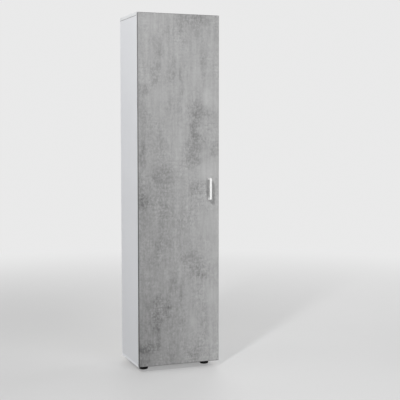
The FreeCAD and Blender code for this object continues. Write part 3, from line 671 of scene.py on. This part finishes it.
@dataclass(frozen=True)
class Plastic:
    """Moulded plastic or a plain edge band.

    The colour is multiplied by the foot tone at the start of the foot span and by 1 at its end;
    where a foot tone is set, this is painted shade that darkens towards the floor.
    """

    name: str
    colour: Colour
    rough: float
    grain: float = 400.0
    depth: float = 0.0001
    patch: float = 0.04
    # tone at the foot: painted shade towards the floor
    foot_shade_tone: float = 1.0
    gloss: float = 0.5
    cloud: Grain = Grain(25.0, 2.0, 0.5)
    foot_shade_span: Span = (-0.2, 2.1)
    relief_strength: float = 0.4
    rough_swing: float = 0.05

    def dress(self) -> bpy.types.Material:
        """Make the material.

        Returns:
            The finished material.
        """
        recipe = Recipe(self.name)
        place = recipe.place()
        grain = recipe.noise(place, Grain(self.grain))
        cloud = recipe.noise(place, self.cloud)
        recipe.bump(grain, self.depth, self.relief_strength)
        tone = cloud.ease(*NOISE_SPAN, 1.0 - self.patch, 1.0 + self.patch)
        # painted shade: the colour darkens towards the foot
        if self.foot_shade_tone != 1.0:
            tone = tone * recipe.split(place)[2].ease(*self.foot_shade_span, self.foot_shade_tone, 1.0)
        rough = grain.ease(*NOISE_SPAN, self.rough - self.rough_swing,
                           self.rough + self.rough_swing)
        return recipe.surface_of(base_color=recipe.shade(self.colour, tone), roughness=rough,
                                 specular_ior_level=self.gloss)


@dataclass(frozen=True)
class Metal:
    """Plated or cast metal with fine scratches along one direction."""

    name: str
    colour: Colour
    rough: float
    draw: Triple = (1.0, 1.0, 0.1)
    spots: Grain = Grain(160.0)
    spot_tone: Span = (0.90, 1.04)
    relief: float = 0.00005
    relief_strength: float = 0.3
    rough_swing: float = 0.08

    def dress(self) -> bpy.types.Material:
        """Make the material.

        Returns:
            The finished material.
        """
        recipe = Recipe(self.name)
        place = recipe.place()
        lines = recipe.noise(recipe.stretch(place, self.draw), SCRATCHES)
        spots = recipe.noise(place, self.spots)
        recipe.bump(lines, self.relief, self.relief_strength)
        tone = spots.ease(*NOISE_SPAN, *self.spot_tone)
        rough = lines.ease(*NOISE_SPAN, self.rough - self.rough_swing,
                           self.rough + self.rough_swing)
        return recipe.surface_of(base_color=recipe.shade(self.colour, tone), roughness=rough,
                                 metallic=1.0)


@dataclass(frozen=True)
class Fibreboard:
    """Thin fibre board, lacquered white on the inside and raw at the rear."""

    name: str
    white: Colour = (0.74, 0.75, 0.76)
    pale: Colour = (0.42, 0.29, 0.17)
    dark: Colour = (0.27, 0.17, 0.09)
    inner_face: float = 0.5
    felt: Grain = Grain(320.0, 4.0, 0.7)
    cloud: Grain = Grain(4.0, 3.0, 0.55)
    felt_share: float = 0.7
    contrast: Span = (0.36, 0.64)
    cloud_tone: Span = (0.98, 1.01)
    lacquer_fill: float = 0.8
    relief: float = 0.0002
    relief_strength: float = 0.4
    rough: float = 0.72
    lacquer_gloss: float = 0.27

    def dress(self) -> bpy.types.Material:
        """Make the material.

        Returns:
            The finished material.
        """
        recipe = Recipe(self.name)
        place = recipe.place()
        inside = (0.0 - recipe.facing()[1]).above(self.inner_face)
        felt = recipe.noise(place, self.felt)
        cloud = recipe.noise(place, self.cloud)
        fibres = felt * self.felt_share + cloud * (1.0 - self.felt_share)
        raw = recipe.mix(fibres.ease(*self.contrast), self.dark, self.pale)
        sheet = recipe.shade(self.white, cloud.ease(*NOISE_SPAN, *self.cloud_tone))
        recipe.bump(felt * (1.0 - inside * self.lacquer_fill), self.relief, self.relief_strength)
        return recipe.surface_of(base_color=recipe.mix(inside, raw, sheet),
                                 roughness=self.rough - inside * self.lacquer_gloss)


@dataclass(frozen=True)
class Beech:
    """Raw fluted beech of the dowels."""

    name: str
    pale: Colour = (0.62, 0.43, 0.26)
    dark: Colour = (0.42, 0.26, 0.14)
    grain: Grain = Grain(700.0, 3.0, 0.6, (0.1, 1.0, 1.0))
    contrast: Span = (0.35, 0.65)
    relief: float = 0.0002
    relief_strength: float = 0.5
    rough: Span = (0.6, 0.72)

    def dress(self) -> bpy.types.Material:
        """Make the material.

        Returns:
            The finished material.
        """
        recipe = Recipe(self.name)
        grain = recipe.noise(recipe.place(), self.grain)
        recipe.bump(grain, self.relief, self.relief_strength)
        return recipe.surface_of(
            base_color=recipe.mix(grain.ease(*self.contrast), self.dark, self.pale),
            roughness=grain.ease(*NOISE_SPAN, *self.rough))


# Hand work on meshes


class Bench:
    """The operators that every piece is made with."""

    WELD = 0.000002
    FLAT_DEGREES = 0.4
    ON_BOX = 0.00002

    @staticmethod
    def clear() -> None:
        """Leave edit mode and deselect everything."""
        if bpy.context.object and bpy.context.object.mode != "OBJECT":
            bpy.ops.object.mode_set(mode="OBJECT")
        bpy.ops.object.select_all(action="DESELECT")

    @staticmethod
    def hold(piece: bpy.types.Object) -> None:
        """Select one object and make it active.

        Args:
            piece: the object.
        """
        Bench.clear()
        piece.select_set(True)
        bpy.context.view_layer.objects.active = piece

    @staticmethod
    def pick_edges(piece: bpy.types.Object, wanted: Callable[[Sequence[Vector]], bool]) -> None:
        """Select edges of the piece by place and go to edit mode.

        Args:
            piece: the object.
            wanted: says from the places of an edge's ends if it is wanted.
        """
        Bench.hold(piece)
        bpy.ops.object.mode_set(mode="EDIT")
        bpy.ops.mesh.select_mode(type="EDGE")
        bpy.ops.mesh.select_all(action="DESELECT")
        bpy.ops.object.mode_set(mode="OBJECT")
        mesh = piece.data
        for edge in mesh.edges:
            if wanted([mesh.vertices[index].co for index in edge.vertices]):
                edge.select = True
        bpy.ops.object.mode_set(mode="EDIT")

    @staticmethod
    def copy_of(node: str, name: str) -> bpy.types.Object:
        """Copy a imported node's mesh and make it whole.

        Args:
            node: the node to copy.
            name: the new piece's name.

        Returns:
            The new piece.
        """
        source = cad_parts[node]
        piece = bpy.data.objects.new(name, source.data.copy())
        bpy.context.scene.collection.objects.link(piece)
        piece.data.materials.clear()
        Bench.hold(piece)
        bpy.ops.object.mode_set(mode="EDIT")
        bpy.ops.mesh.select_all(action="SELECT")
        bpy.ops.mesh.remove_doubles(threshold=Bench.WELD)
        bpy.ops.mesh.dissolve_limited(angle_limit=math.radians(Bench.FLAT_DEGREES))
        bpy.ops.object.mode_set(mode="OBJECT")
        return piece

    @staticmethod
    def round_outline(piece: bpy.types.Object, radius: float, steps: int = 2) -> None:
        """Round the edges that lie on two sides of the piece's box.

        Args:
            piece: the object.
            radius: the rounding's width.
            steps: how many faces it gets.
        """
        corners = [vertex.co for vertex in piece.data.vertices]
        low = [min(corner[axis] for corner in corners) for axis in range(3)]
        high = [max(corner[axis] for corner in corners) for axis in range(3)]

        def on_two_sides(ends: Sequence[Vector]) -> bool:
            """Say if an edge lies on two sides of the box.

            Args:
                ends: the places of its ends.

            Returns:
                Whether it does.
            """
            sides = 0
            for axis in range(3):
                for limit in (low[axis], high[axis]):
                    if all(abs(end[axis] - limit) < Bench.ON_BOX for end in ends):
                        sides += 1
            return sides >= 2

        Bench.pick_edges(piece, on_two_sides)
        bpy.ops.mesh.bevel(offset=radius, segments=steps, profile=0.5, affect="EDGES")
        bpy.ops.object.mode_set(mode="OBJECT")

    @staticmethod
    def smooth(piece: bpy.types.Object, degrees: float = 35.0) -> None:
        """Shade a piece smoothly up to an angle.

        Args:
            piece: the object.
            degrees: the angle.
        """
        Bench.hold(piece)
        bpy.ops.object.shade_smooth_by_angle(angle=math.radians(degrees))
        Bench.clear()

    @staticmethod
    def weigh(piece: bpy.types.Object) -> None:
        """Turn the normals to the larger faces, so that a flat face beside a rounding is even.

        Args:
            piece: the object, already shaded smoothly.
        """
        Bench.hold(piece)
        bpy.ops.object.modifier_add(type="WEIGHTED_NORMAL")
        weighted = piece.modifiers[-1]
        weighted.keep_sharp = True
        bpy.ops.object.modifier_apply(modifier=weighted.name)
        Bench.clear()

    @staticmethod
    def twin(piece: bpy.types.Object, name: str, by: Triple) -> bpy.types.Object:
        """Copy a piece with its own mesh and move the copy's points.

        Args:
            piece: the piece to copy.
            name: the copy's name.
            by: how far it goes.

        Returns:
            The copy.
        """
        made = bpy.data.objects.new(name, piece.data.copy())
        bpy.context.scene.collection.objects.link(made)
        Bench.hold(made)
        bpy.ops.object.mode_set(mode="EDIT")
        bpy.ops.mesh.select_all(action="SELECT")
        bpy.ops.transform.translate(value=by)
        bpy.ops.object.mode_set(mode="OBJECT")
        return made

    @staticmethod
    def turned(name: str, profile: Sequence[tuple[float, float]], middle: tuple[float, float],
               sides: int = 64) -> bpy.types.Object:
        """Make a turned piece by drawing a disc out ring by ring.

        Args:
            name: the piece's name.
            profile: radius and height of each ring, the first one closed.
            middle: where the axis stands.
            sides: how many sides a ring has.

        Returns:
            The new piece.
        """
        Bench.clear()
        radius, height = profile[0]
        bpy.ops.mesh.primitive_circle_add(vertices=sides, radius=radius, fill_type="NGON",
                                          location=(middle[0], middle[1], height))
        piece = bpy.context.object
        piece.name = piece.data.name = name
        bpy.ops.object.transform_apply(location=True, rotation=True, scale=True)
        bpy.ops.object.mode_set(mode="EDIT")
        bpy.ops.mesh.select_all(action="SELECT")
        for next_radius, next_height in profile[1:]:
            rise = (0.0, 0.0, next_height - height)
            bpy.ops.mesh.extrude_region_move(TRANSFORM_OT_translate={"value": rise})
            share = next_radius / radius
            bpy.ops.transform.resize(value=(share, share, 1.0),
                                     center_override=(*middle, next_height))
            radius, height = next_radius, next_height
        bpy.ops.mesh.select_all(action="SELECT")
        bpy.ops.mesh.normals_make_consistent(inside=False)
        bpy.ops.object.mode_set(mode="OBJECT")
        return piece


def stand_in(piece: bpy.types.Object, body: Body, slot: str, material: bpy.types.Material,
             *nodes: str) -> None:
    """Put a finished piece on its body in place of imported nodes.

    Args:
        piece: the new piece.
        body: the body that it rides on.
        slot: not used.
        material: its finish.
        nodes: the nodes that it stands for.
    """
    piece.data.materials.clear()
    piece.data.materials.append(material)
    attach(piece, body.value)
    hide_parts(*nodes)
    LOG.info("%s: %d faces on %s", piece.name, len(piece.data.polygons), body.value)


def dress(nodes: Iterable[str], material: bpy.types.Material) -> None:
    """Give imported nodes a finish.

    Args:
        nodes: their names.
        material: the finish.
    """
    for name in nodes:
        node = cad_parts[name]
        node.data.materials.clear()
        node.data.materials.append(material)
        LOG.info("%s: %s", name, material.name)


# Sub-assemblies

HINGE_NAMES = ("bottom", "lower", "upper", "top")


@dataclass
class Carcass:
    """Boards, shelves and back panel of the cabinet.

    The numbers are the rounding of the board edges, the fronts of boards and shelves, half the
    width, the underside of the top panel and the underside of the sides, in metres.
    """

    edge_round: float = 0.0007
    front: float = -0.1275
    shelf_front: float = -0.1055
    half_wide: float = 0.2275
    roof: float = 1.884
    foot: float = 0.028
    uprights: tuple[str, ...] = ("left_side", "right_side")
    levels: tuple[str, ...] = ("bottom_panel", "middle_shelf")
    shelves: tuple[str, ...] = ("lower_shelf_1", "lower_shelf_2", "upper_shelf_1",
                                "upper_shelf_2")

    def build(self) -> None:
        """Make the boards and dress the back."""
        # the sides get a painted seam shadow under the top and a painted highlight along their
        # foot
        side = Melamine("white_melamine_sides", Axis.X, self.front, joint=self.roof,
                        painted_sheen_base=self.foot)
        level = Melamine("white_melamine_boards", Axis.Z, self.front)
        top = Melamine("white_melamine_top", Axis.Z, self.front,
                       ends=(-self.half_wide, self.half_wide))
        shelf = Melamine("white_melamine_shelves", Axis.Z, self.shelf_front)
        for nodes, finish in ((self.uprights, side), (self.levels, level), (("top_panel",), top),
                              (self.shelves, shelf)):
            material = finish.dress()
            for node in nodes:
                self.board(node, material)
        dress(("lower_back_panel", "upper_back_panel"), Fibreboard("fibreboard").dress())

    def board(self, node: str, material: bpy.types.Material) -> None:
        """Replace one board by a copy with softened edges.

        Args:
            node: the board's node.
            material: its finish.
        """
        piece = Bench.copy_of(node, node + "_board")
        Bench.round_outline(piece, self.edge_round)
        Bench.smooth(piece)
        Bench.weigh(piece)
        stand_in(piece, Body.CARCASS, "white_board", material, node)


@dataclass
class Feet:
    """Four round feet with a rounded toe and a shadow groove."""

    radius: float = 0.0245
    height: float = 0.028
    toe: float = 0.0225
    well: float = 0.008
    roof: float = 0.008
    groove_at: float = 0.0235
    groove_deep: float = 0.0007
    hole: float = 0.0024
    smooth_to: float = 50.0
    places: tuple[str, ...] = ("front_left", "front_right", "rear_left", "rear_right")

    def profile(self) -> list[tuple[float, float]]:
        """List the rings from the rim of the top down and into the well.

        Returns:
            Radius and height of each ring.
        """
        outer, toe, well = self.radius, self.toe, self.well
        neck, groove, low = outer - self.groove_deep, self.groove_at, self.height - self.roof
        return [
            # rounded rim of the top
            (outer - 0.0010, self.height), (outer - 0.0003, self.height - 0.0003),
            (outer, self.height - 0.001),
            # shadow groove
            (outer, groove + 0.0008), (neck, groove + 0.0002), (neck, groove - 0.0006),
            (outer, groove - 0.0012),
            # wall that draws in towards the toe
            (outer - 0.0002, 0.008), (outer - 0.0006, 0.0045), (outer - 0.0014, 0.0020),
            # rounded toe
            (toe - 0.0003, 0.0008), (toe - 0.0014, 0.0001), (toe - 0.0022, 0.0),
            # rounded mouth of the well
            (well + 0.0030, 0.0), (well + 0.0012, 0.0002), (well + 0.0004, 0.0009), (well, 0.0022),
            # roof of the well, around the screw's hole
            (well - 0.0002, low - 0.001), (well - 0.0010, low - 0.0001), (self.hole, low),
        ]

    def build(self) -> None:
        """Turn one foot and set copies of it under the other corners."""
        material = Plastic("black_foot_plastic", (0.005, 0.005, 0.0055), rough=0.5, grain=500.0,
                           patch=0.1, gloss=0.2).dress()
        first: Optional[bpy.types.Object] = None
        start = (0.0, 0.0)
        for place in self.places:
            node = "foot_" + place
            low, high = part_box(node)
            middle = ((low[0] + high[0]) / 2, (low[1] + high[1]) / 2)
            if first is None:
                first, start = Bench.turned(node + "_turned", self.profile(), middle), middle
                piece = first
                Bench.smooth(piece, self.smooth_to)
            else:
                way = (middle[0] - start[0], middle[1] - start[1], 0.0)
                piece = Bench.twin(first, node + "_turned", way)
            stand_in(piece, Body.CARCASS, "black_plastic", material, node)


# each cloud's right, down, half width, half height and depth
CLOUDS = tuple(Patch(*numbers) for numbers in (
    (285, 22, 75, 34, -13), (330, 22, 30, 22, -9), (372, 30, 22, 20, -10), (325, 72, 30, 22, -9),
    (232, 70, 14, 26, -11), (332, 118, 22, 16, -14), (110, 175, 24, 70, -12),
    (128, 208, 28, 24, -9), (92, 285, 26, 55, -13), (185, 285, 28, 70, -12),
    (236, 325, 9, 45, -13), (357, 262, 13, 95, -14), (104, 362, 15, 30, -13),
    (28, 402, 48, 34, -17), (18, 512, 30, 62, -9), (55, 578, 50, 42, -7), (325, 500, 48, 46, -18),
    (322, 585, 34, 62, -19), (300, 705, 36, 100, -22), (325, 768, 20, 32, -14),
    (384, 515, 14, 20, -13), (425, 705, 34, 44, -12), (18, 745, 20, 60, -14),
    (105, 680, 60, 50, -9), (120, 885, 62, 110, -14), (32, 985, 36, 40, -22),
    (60, 1095, 70, 110, -9), (160, 1045, 38, 70, -12), (126, 1150, 16, 72, -17),
    (113, 1230, 20, 42, -13), (285, 1288, 42, 28, -17), (326, 1350, 40, 62, -18),
    (370, 1386, 26, 18, -11), (420, 1388, 14, 14, -10), (238, 1480, 12, 60, -12),
    (112, 1560, 26, 90, -18), (160, 1540, 18, 70, -22), (62, 1530, 40, 48, -11),
    (90, 1650, 34, 60, -16), (106, 1730, 11, 60, -20), (40, 1772, 58, 38, -26),
    (22, 1845, 42, 28, -20), (330, 1578, 38, 38, -3), (356, 1625, 22, 90, -4),
    (322, 1832, 42, 40, -15), (178, 1832, 34, 50, -10), (390, 440, 60, 55, 8),
    (405, 832, 66, 56, 12), (222, 705, 22, 110, 9), (330, 330, 30, 48, 6), (432, 480, 28, 42, 7),
    (60, 60, 60, 60, 6), (420, 1530, 40, 60, 8), (430, 1290, 26, 50, 8), (220, 1350, 16, 90, 8),
    (6, 850, 34, 190, -10), (185, 490, 45, 60, -8), (345, 655, 24, 30, -9), (150, 862, 52, 50, -8),
    (325, 900, 50, 36, -10), (215, 1090, 50, 70, -5), (165, 1210, 26, 60, -8),
    (105, 1305, 50, 50, -8), (190, 1440, 26, 45, -8), (15, 985, 25, 60, -6),
    (15, 1090, 25, 45, -5), (20, 1720, 40, 90, -6), (205, 1640, 60, 120, -4),
    (322, 1780, 50, 50, -4), (345, 920, 60, 70, -5), (340, 662, 36, 30, -5),
    (310, 450, 45, 50, -4), (30, 30, 40, 30, 6), (60, 320, 40, 32, 8), (105, 416, 44, 44, 8),
    (400, 512, 36, 30, -8), (295, 555, 36, 36, -6), (20, 705, 26, 80, -5), (165, 848, 60, 30, -5),
    (15, 945, 26, 24, -10), (405, 1080, 55, 85, 8), (105, 1120, 48, 70, 6), (10, 1088, 20, 24, -6),
    (40, 1705, 50, 110, -4), (185, 1430, 42, 70, -5), (332, 32, 28, 22, -5),
    (330, 560, 34, 190, -4), (434, 700, 20, 38, -7), (400, 1335, 36, 36, -5),
    (429, 1190, 26, 60, 6), (395, 1500, 40, 60, 4), (88, 510, 30, 60, 5), (225, 1330, 60, 90, -3),
    (165, 222, 110, 75, 5), (20, 955, 40, 55, -8), (335, 955, 60, 60, -5), (255, 1088, 50, 50, -5),
    (308, 1612, 40, 45, 6), (405, 1775, 32, 50, 6), (190, 1760, 40, 45, -6), (425, 180, 34, 60, 5),
    (215, 1215, 60, 60, -4), (150, 1630, 110, 80, -3), (372, 655, 30, 28, -5),
    (408, 490, 28, 45, -5), (35, 745, 50, 30, -4), (35, 640, 50, 40, -4), (120, 235, 20, 80, 3),
    (12, 1090, 20, 24, -4), (244, 1613, 12, 150, -7), (238, 450, 12, 130, -7),
    (262, 400, 14, 110, 5), (367, 1672, 13, 150, -6), (232, 1380, 14, 60, 5),
    (211, 1413, 15, 60, -6), (290, 1600, 16, 150, 4),
))


@dataclass
class Door:
    """Door board, its edge bands and its bow handle.

    The first three numbers are the door's left, top and front, in metres.
    """

    left: float = -0.2265
    top: float = 1.897
    front: float = -0.1455
    band_round: float = 0.0008
    band_steps: int = 3
    band_smooth_to: float = 30.0
    handle_smooth_to: float = 40.0

    def build(self) -> None:
        """Make and dress the door."""
        decor = Concrete("concrete_decor", self.left, self.top, self.front, CLOUDS).dress()
        dress(("door_panel",), decor)
        # grey band: its grey is partly its own colour, partly painted shade of the gap beside the
        # side panel; its foot tone paints more of that shade towards the floor
        band = Plastic("grey_edge_band", (0.22, 0.22, 0.222), rough=0.55, grain=300.0,
                       depth=0.00006, patch=0.03, foot_shade_tone=0.22, gloss=0.05).dress()
        piece = Bench.copy_of("door_edge_bands", "door_bands_rounded")
        Bench.round_outline(piece, self.band_round, self.band_steps)
        Bench.smooth(piece, self.band_smooth_to)
        Bench.weigh(piece)
        stand_in(piece, Body.DOOR, "grey_edge", band, "door_edge_bands")
        white = Plastic("white_handle_gloss", (0.79, 0.79, 0.785), rough=0.28, grain=350.0,
                        depth=0.00004, patch=0.01).dress()
        handle = Bench.copy_of("handle", "bow_handle")
        Bench.smooth(handle, self.handle_smooth_to)
        Bench.weigh(handle)
        stand_in(handle, Body.DOOR, "white_handle", white, "handle")


@dataclass
class Fittings:
    """Hinges, screws and other small metal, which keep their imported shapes."""

    zinc: tuple[str, ...] = ("back_panel_nails", "cam_bolts", "foot_screws",
                             "wall_bracket_screw", "hinge_plate_screws", "hinge_cup_screws",
                             "hinge_arm_screws", "handle_screws")
    pins: tuple[str, ...] = ("hinge_arm_pins", "hinge_cup_pins", "shelf_pins")
    hinge_parts: tuple[str, ...] = ("plate", "arm", "link", "cup")

    def build(self) -> None:
        """Dress the fittings."""
        hinges = ["hinge_%s_%s" % (part, name)
                  for part in self.hinge_parts for name in HINGE_NAMES]
        for nodes, finish in (
            (self.zinc, Metal("zinc_plated_steel", (0.62, 0.62, 0.60), 0.34)),
            (hinges, Metal("nickel_plated_steel", (0.68, 0.67, 0.64), 0.22, (1.0, 0.12, 1.0))),
            (self.pins, Metal("nickel_plated_pins", (0.66, 0.65, 0.62), 0.26, (0.15, 1.0, 1.0))),
            (["wall_bracket"], Metal("pressed_zinc_bracket", (0.50, 0.50, 0.49), 0.52)),
            (["cam_locks"], Metal("cast_zinc", (0.50, 0.50, 0.48), 0.48, (1.0, 1.0, 1.0))),
            (["wood_dowels"], Beech("beech_dowel")),
            (["door_bumpers"], Plastic("clear_bumper", (0.70, 0.70, 0.68), 0.30, 500.0)),
        ):
            dress(nodes, finish.dress())


# Studio


@dataclass(frozen=True)
class Lamp:
    """One white area lamp, with its sizes in metres and its power in watts."""

    name: str
    place: Triple
    aim: Triple
    wide: float
    high: float
    power: float

    def hang(self) -> None:
        """Hang the lamp and turn it to its aim."""
        data = bpy.data.lights.new(self.name, "AREA")
        data.shape = "RECTANGLE"
        data.size, data.size_y, data.energy = self.wide, self.high, self.power
        lamp = bpy.data.objects.new(self.name, data)
        bpy.context.scene.collection.objects.link(lamp)
        lamp.location = self.place
        way = Vector(self.aim) - Vector(self.place)
        lamp.rotation_euler = way.to_track_quat("-Z", "Y").to_euler()


@dataclass
class Studio:
    """Floor, sky, lamps and camera.

    The floor's colour is pale, and near the part it glows with the share glow of the
    background's colour back. Between the distances in fade the share grows to 1. The sky lights
    the part at the level ambient.
    """

    pale: Colour = (0.50, 0.50, 0.50)
    back: Colour = (0.82, 0.82, 0.82)
    glow: float = 0.36
    fade: Span = (1.2, 5.0)
    cloud: Grain = Grain(1.4, 2.0, 0.5)
    cloud_tone: Span = (0.99, 1.01)
    rough: float = 0.6
    ground_radius: float = 30.0
    ground_sides: int = 96
    white: Colour = (1.0, 1.0, 1.0)
    ambient: float = 0.09
    sensor: float = 36.0
    clip_end: float = 200.0
    camera_place: Triple = (-1.66742, -4.81043, 1.29926)
    yaw: float = 20.942
    tilt: float = 4.401
    lens: float = 83.979
    lamps: tuple[Lamp, ...] = (
        Lamp("front_right", (1.05, -3.9, 1.45), (0.0, 0.0, 1.05), 1.5, 0.4, 58.5),
        Lamp("front_left_high", (-3.2, -3.85, 4.6), (0.0, 0.0, 1.0), 0.45, 0.45, 262.0),
        Lamp("left_soft", (-2.8, 0.3, 3.4), (0.0, 0.0, 1.3), 1.8, 1.8, 28.0),
        Lamp("right_soft", (3.2, 0.4, 2.6), (0.0, 0.0, 1.0), 2.2, 2.0, 52.0),
        Lamp("rear_soft", (1.8, 3.2, 2.2), (0.0, 0.0, 1.0), 2.8, 2.4, 42.0),
    )

    def floor(self) -> None:
        """Lay the floor, which fades into the background far out."""
        recipe = Recipe("studio_floor")
        place = recipe.place()
        away = recipe.node("ShaderNodeVectorMath", {"operation": "LENGTH"}, {0: place}, "Value")
        cloud = recipe.noise(place, self.cloud)
        colour = recipe.shade(self.pale, cloud.ease(*NOISE_SPAN, *self.cloud_tone))
        recipe.surface_of(base_color=colour, roughness=self.rough)
        glow = recipe.node("ShaderNodeEmission", None, {"Color": self.back, "Strength": 1.0})
        seen = recipe.node("ShaderNodeLightPath", output="Is Camera Ray")
        mirrored = recipe.node("ShaderNodeLightPath", output="Is Glossy Ray")
        mixed = recipe.node("ShaderNodeMixShader", None, {
            0: away.ease(*self.fade, self.glow, 1.0) * seen.either(mirrored),
            1: Signal(recipe, recipe.surface.outputs[0]), 2: glow})
        recipe.feed(recipe.output.inputs[0], mixed)
        Bench.clear()
        bpy.ops.mesh.primitive_circle_add(vertices=self.ground_sides, radius=self.ground_radius,
                                          fill_type="NGON", location=(0, 0, 0))
        ground = bpy.context.object
        ground.name = "studio_floor"
        ground.data.materials.append(recipe.material)

    def sky(self) -> None:
        """Set an even pale sky, seen as the background."""
        world = bpy.data.worlds.new("studio_sky")
        bpy.context.scene.world = world
        world.use_nodes = True
        tree = world.node_tree
        tree.nodes.clear()
        path = tree.nodes.new("ShaderNodeLightPath")
        seen = tree.nodes.new("ShaderNodeMath")
        seen.operation = "MAXIMUM"
        light = tree.nodes.new("ShaderNodeBackground")
        view = tree.nodes.new("ShaderNodeBackground")
        for shader, colour, level in ((light, self.white, self.ambient), (view, self.back, 1.0)):
            shader.inputs["Color"].default_value = (*colour, 1.0)
            shader.inputs["Strength"].default_value = level
        mix = tree.nodes.new("ShaderNodeMixShader")
        out = tree.nodes.new("ShaderNodeOutputWorld")
        for start, end in (
            (path.outputs["Is Camera Ray"], seen.inputs[0]),
            (path.outputs["Is Glossy Ray"], seen.inputs[1]),
            (seen.outputs[0], mix.inputs[0]),
            (light.outputs[0], mix.inputs[1]),
            (view.outputs[0], mix.inputs[2]),
            (mix.outputs[0], out.inputs[0]),
        ):
            tree.links.new(start, end)

    def camera(self) -> None:
        """Set up the camera for the photograph's view, without its lens shift."""
        data = bpy.data.cameras.new("camera")
        data.sensor_width = self.sensor
        data.lens = self.lens
        data.clip_end = self.clip_end
        eye = bpy.data.objects.new("camera", data)
        bpy.context.scene.collection.objects.link(eye)
        eye.location = self.camera_place
        eye.rotation_euler = (math.radians(90.0 - self.tilt), 0.0, math.radians(-self.yaw))
        bpy.context.scene.camera = eye

    def build(self) -> None:
        """Set up the whole studio."""
        self.floor()
        self.sky()
        for lamp in self.lamps:
            lamp.hang()
        self.camera()
        bpy.context.scene.view_settings.view_transform = "Standard"
        LOG.info("studio with %d lamps", len(self.lamps))


def main() -> None:
    """Build the sub-assemblies in order and note their size."""
    logging.basicConfig(level=logging.INFO, format="%(name)s: %(message)s")
    for part in (Carcass(), Feet(), Door(), Fittings(), Studio()):
        part.build()
        LOG.info("%s is done", type(part).__name__)
    Bench.clear()


if __name__ == "__main__":
    main()
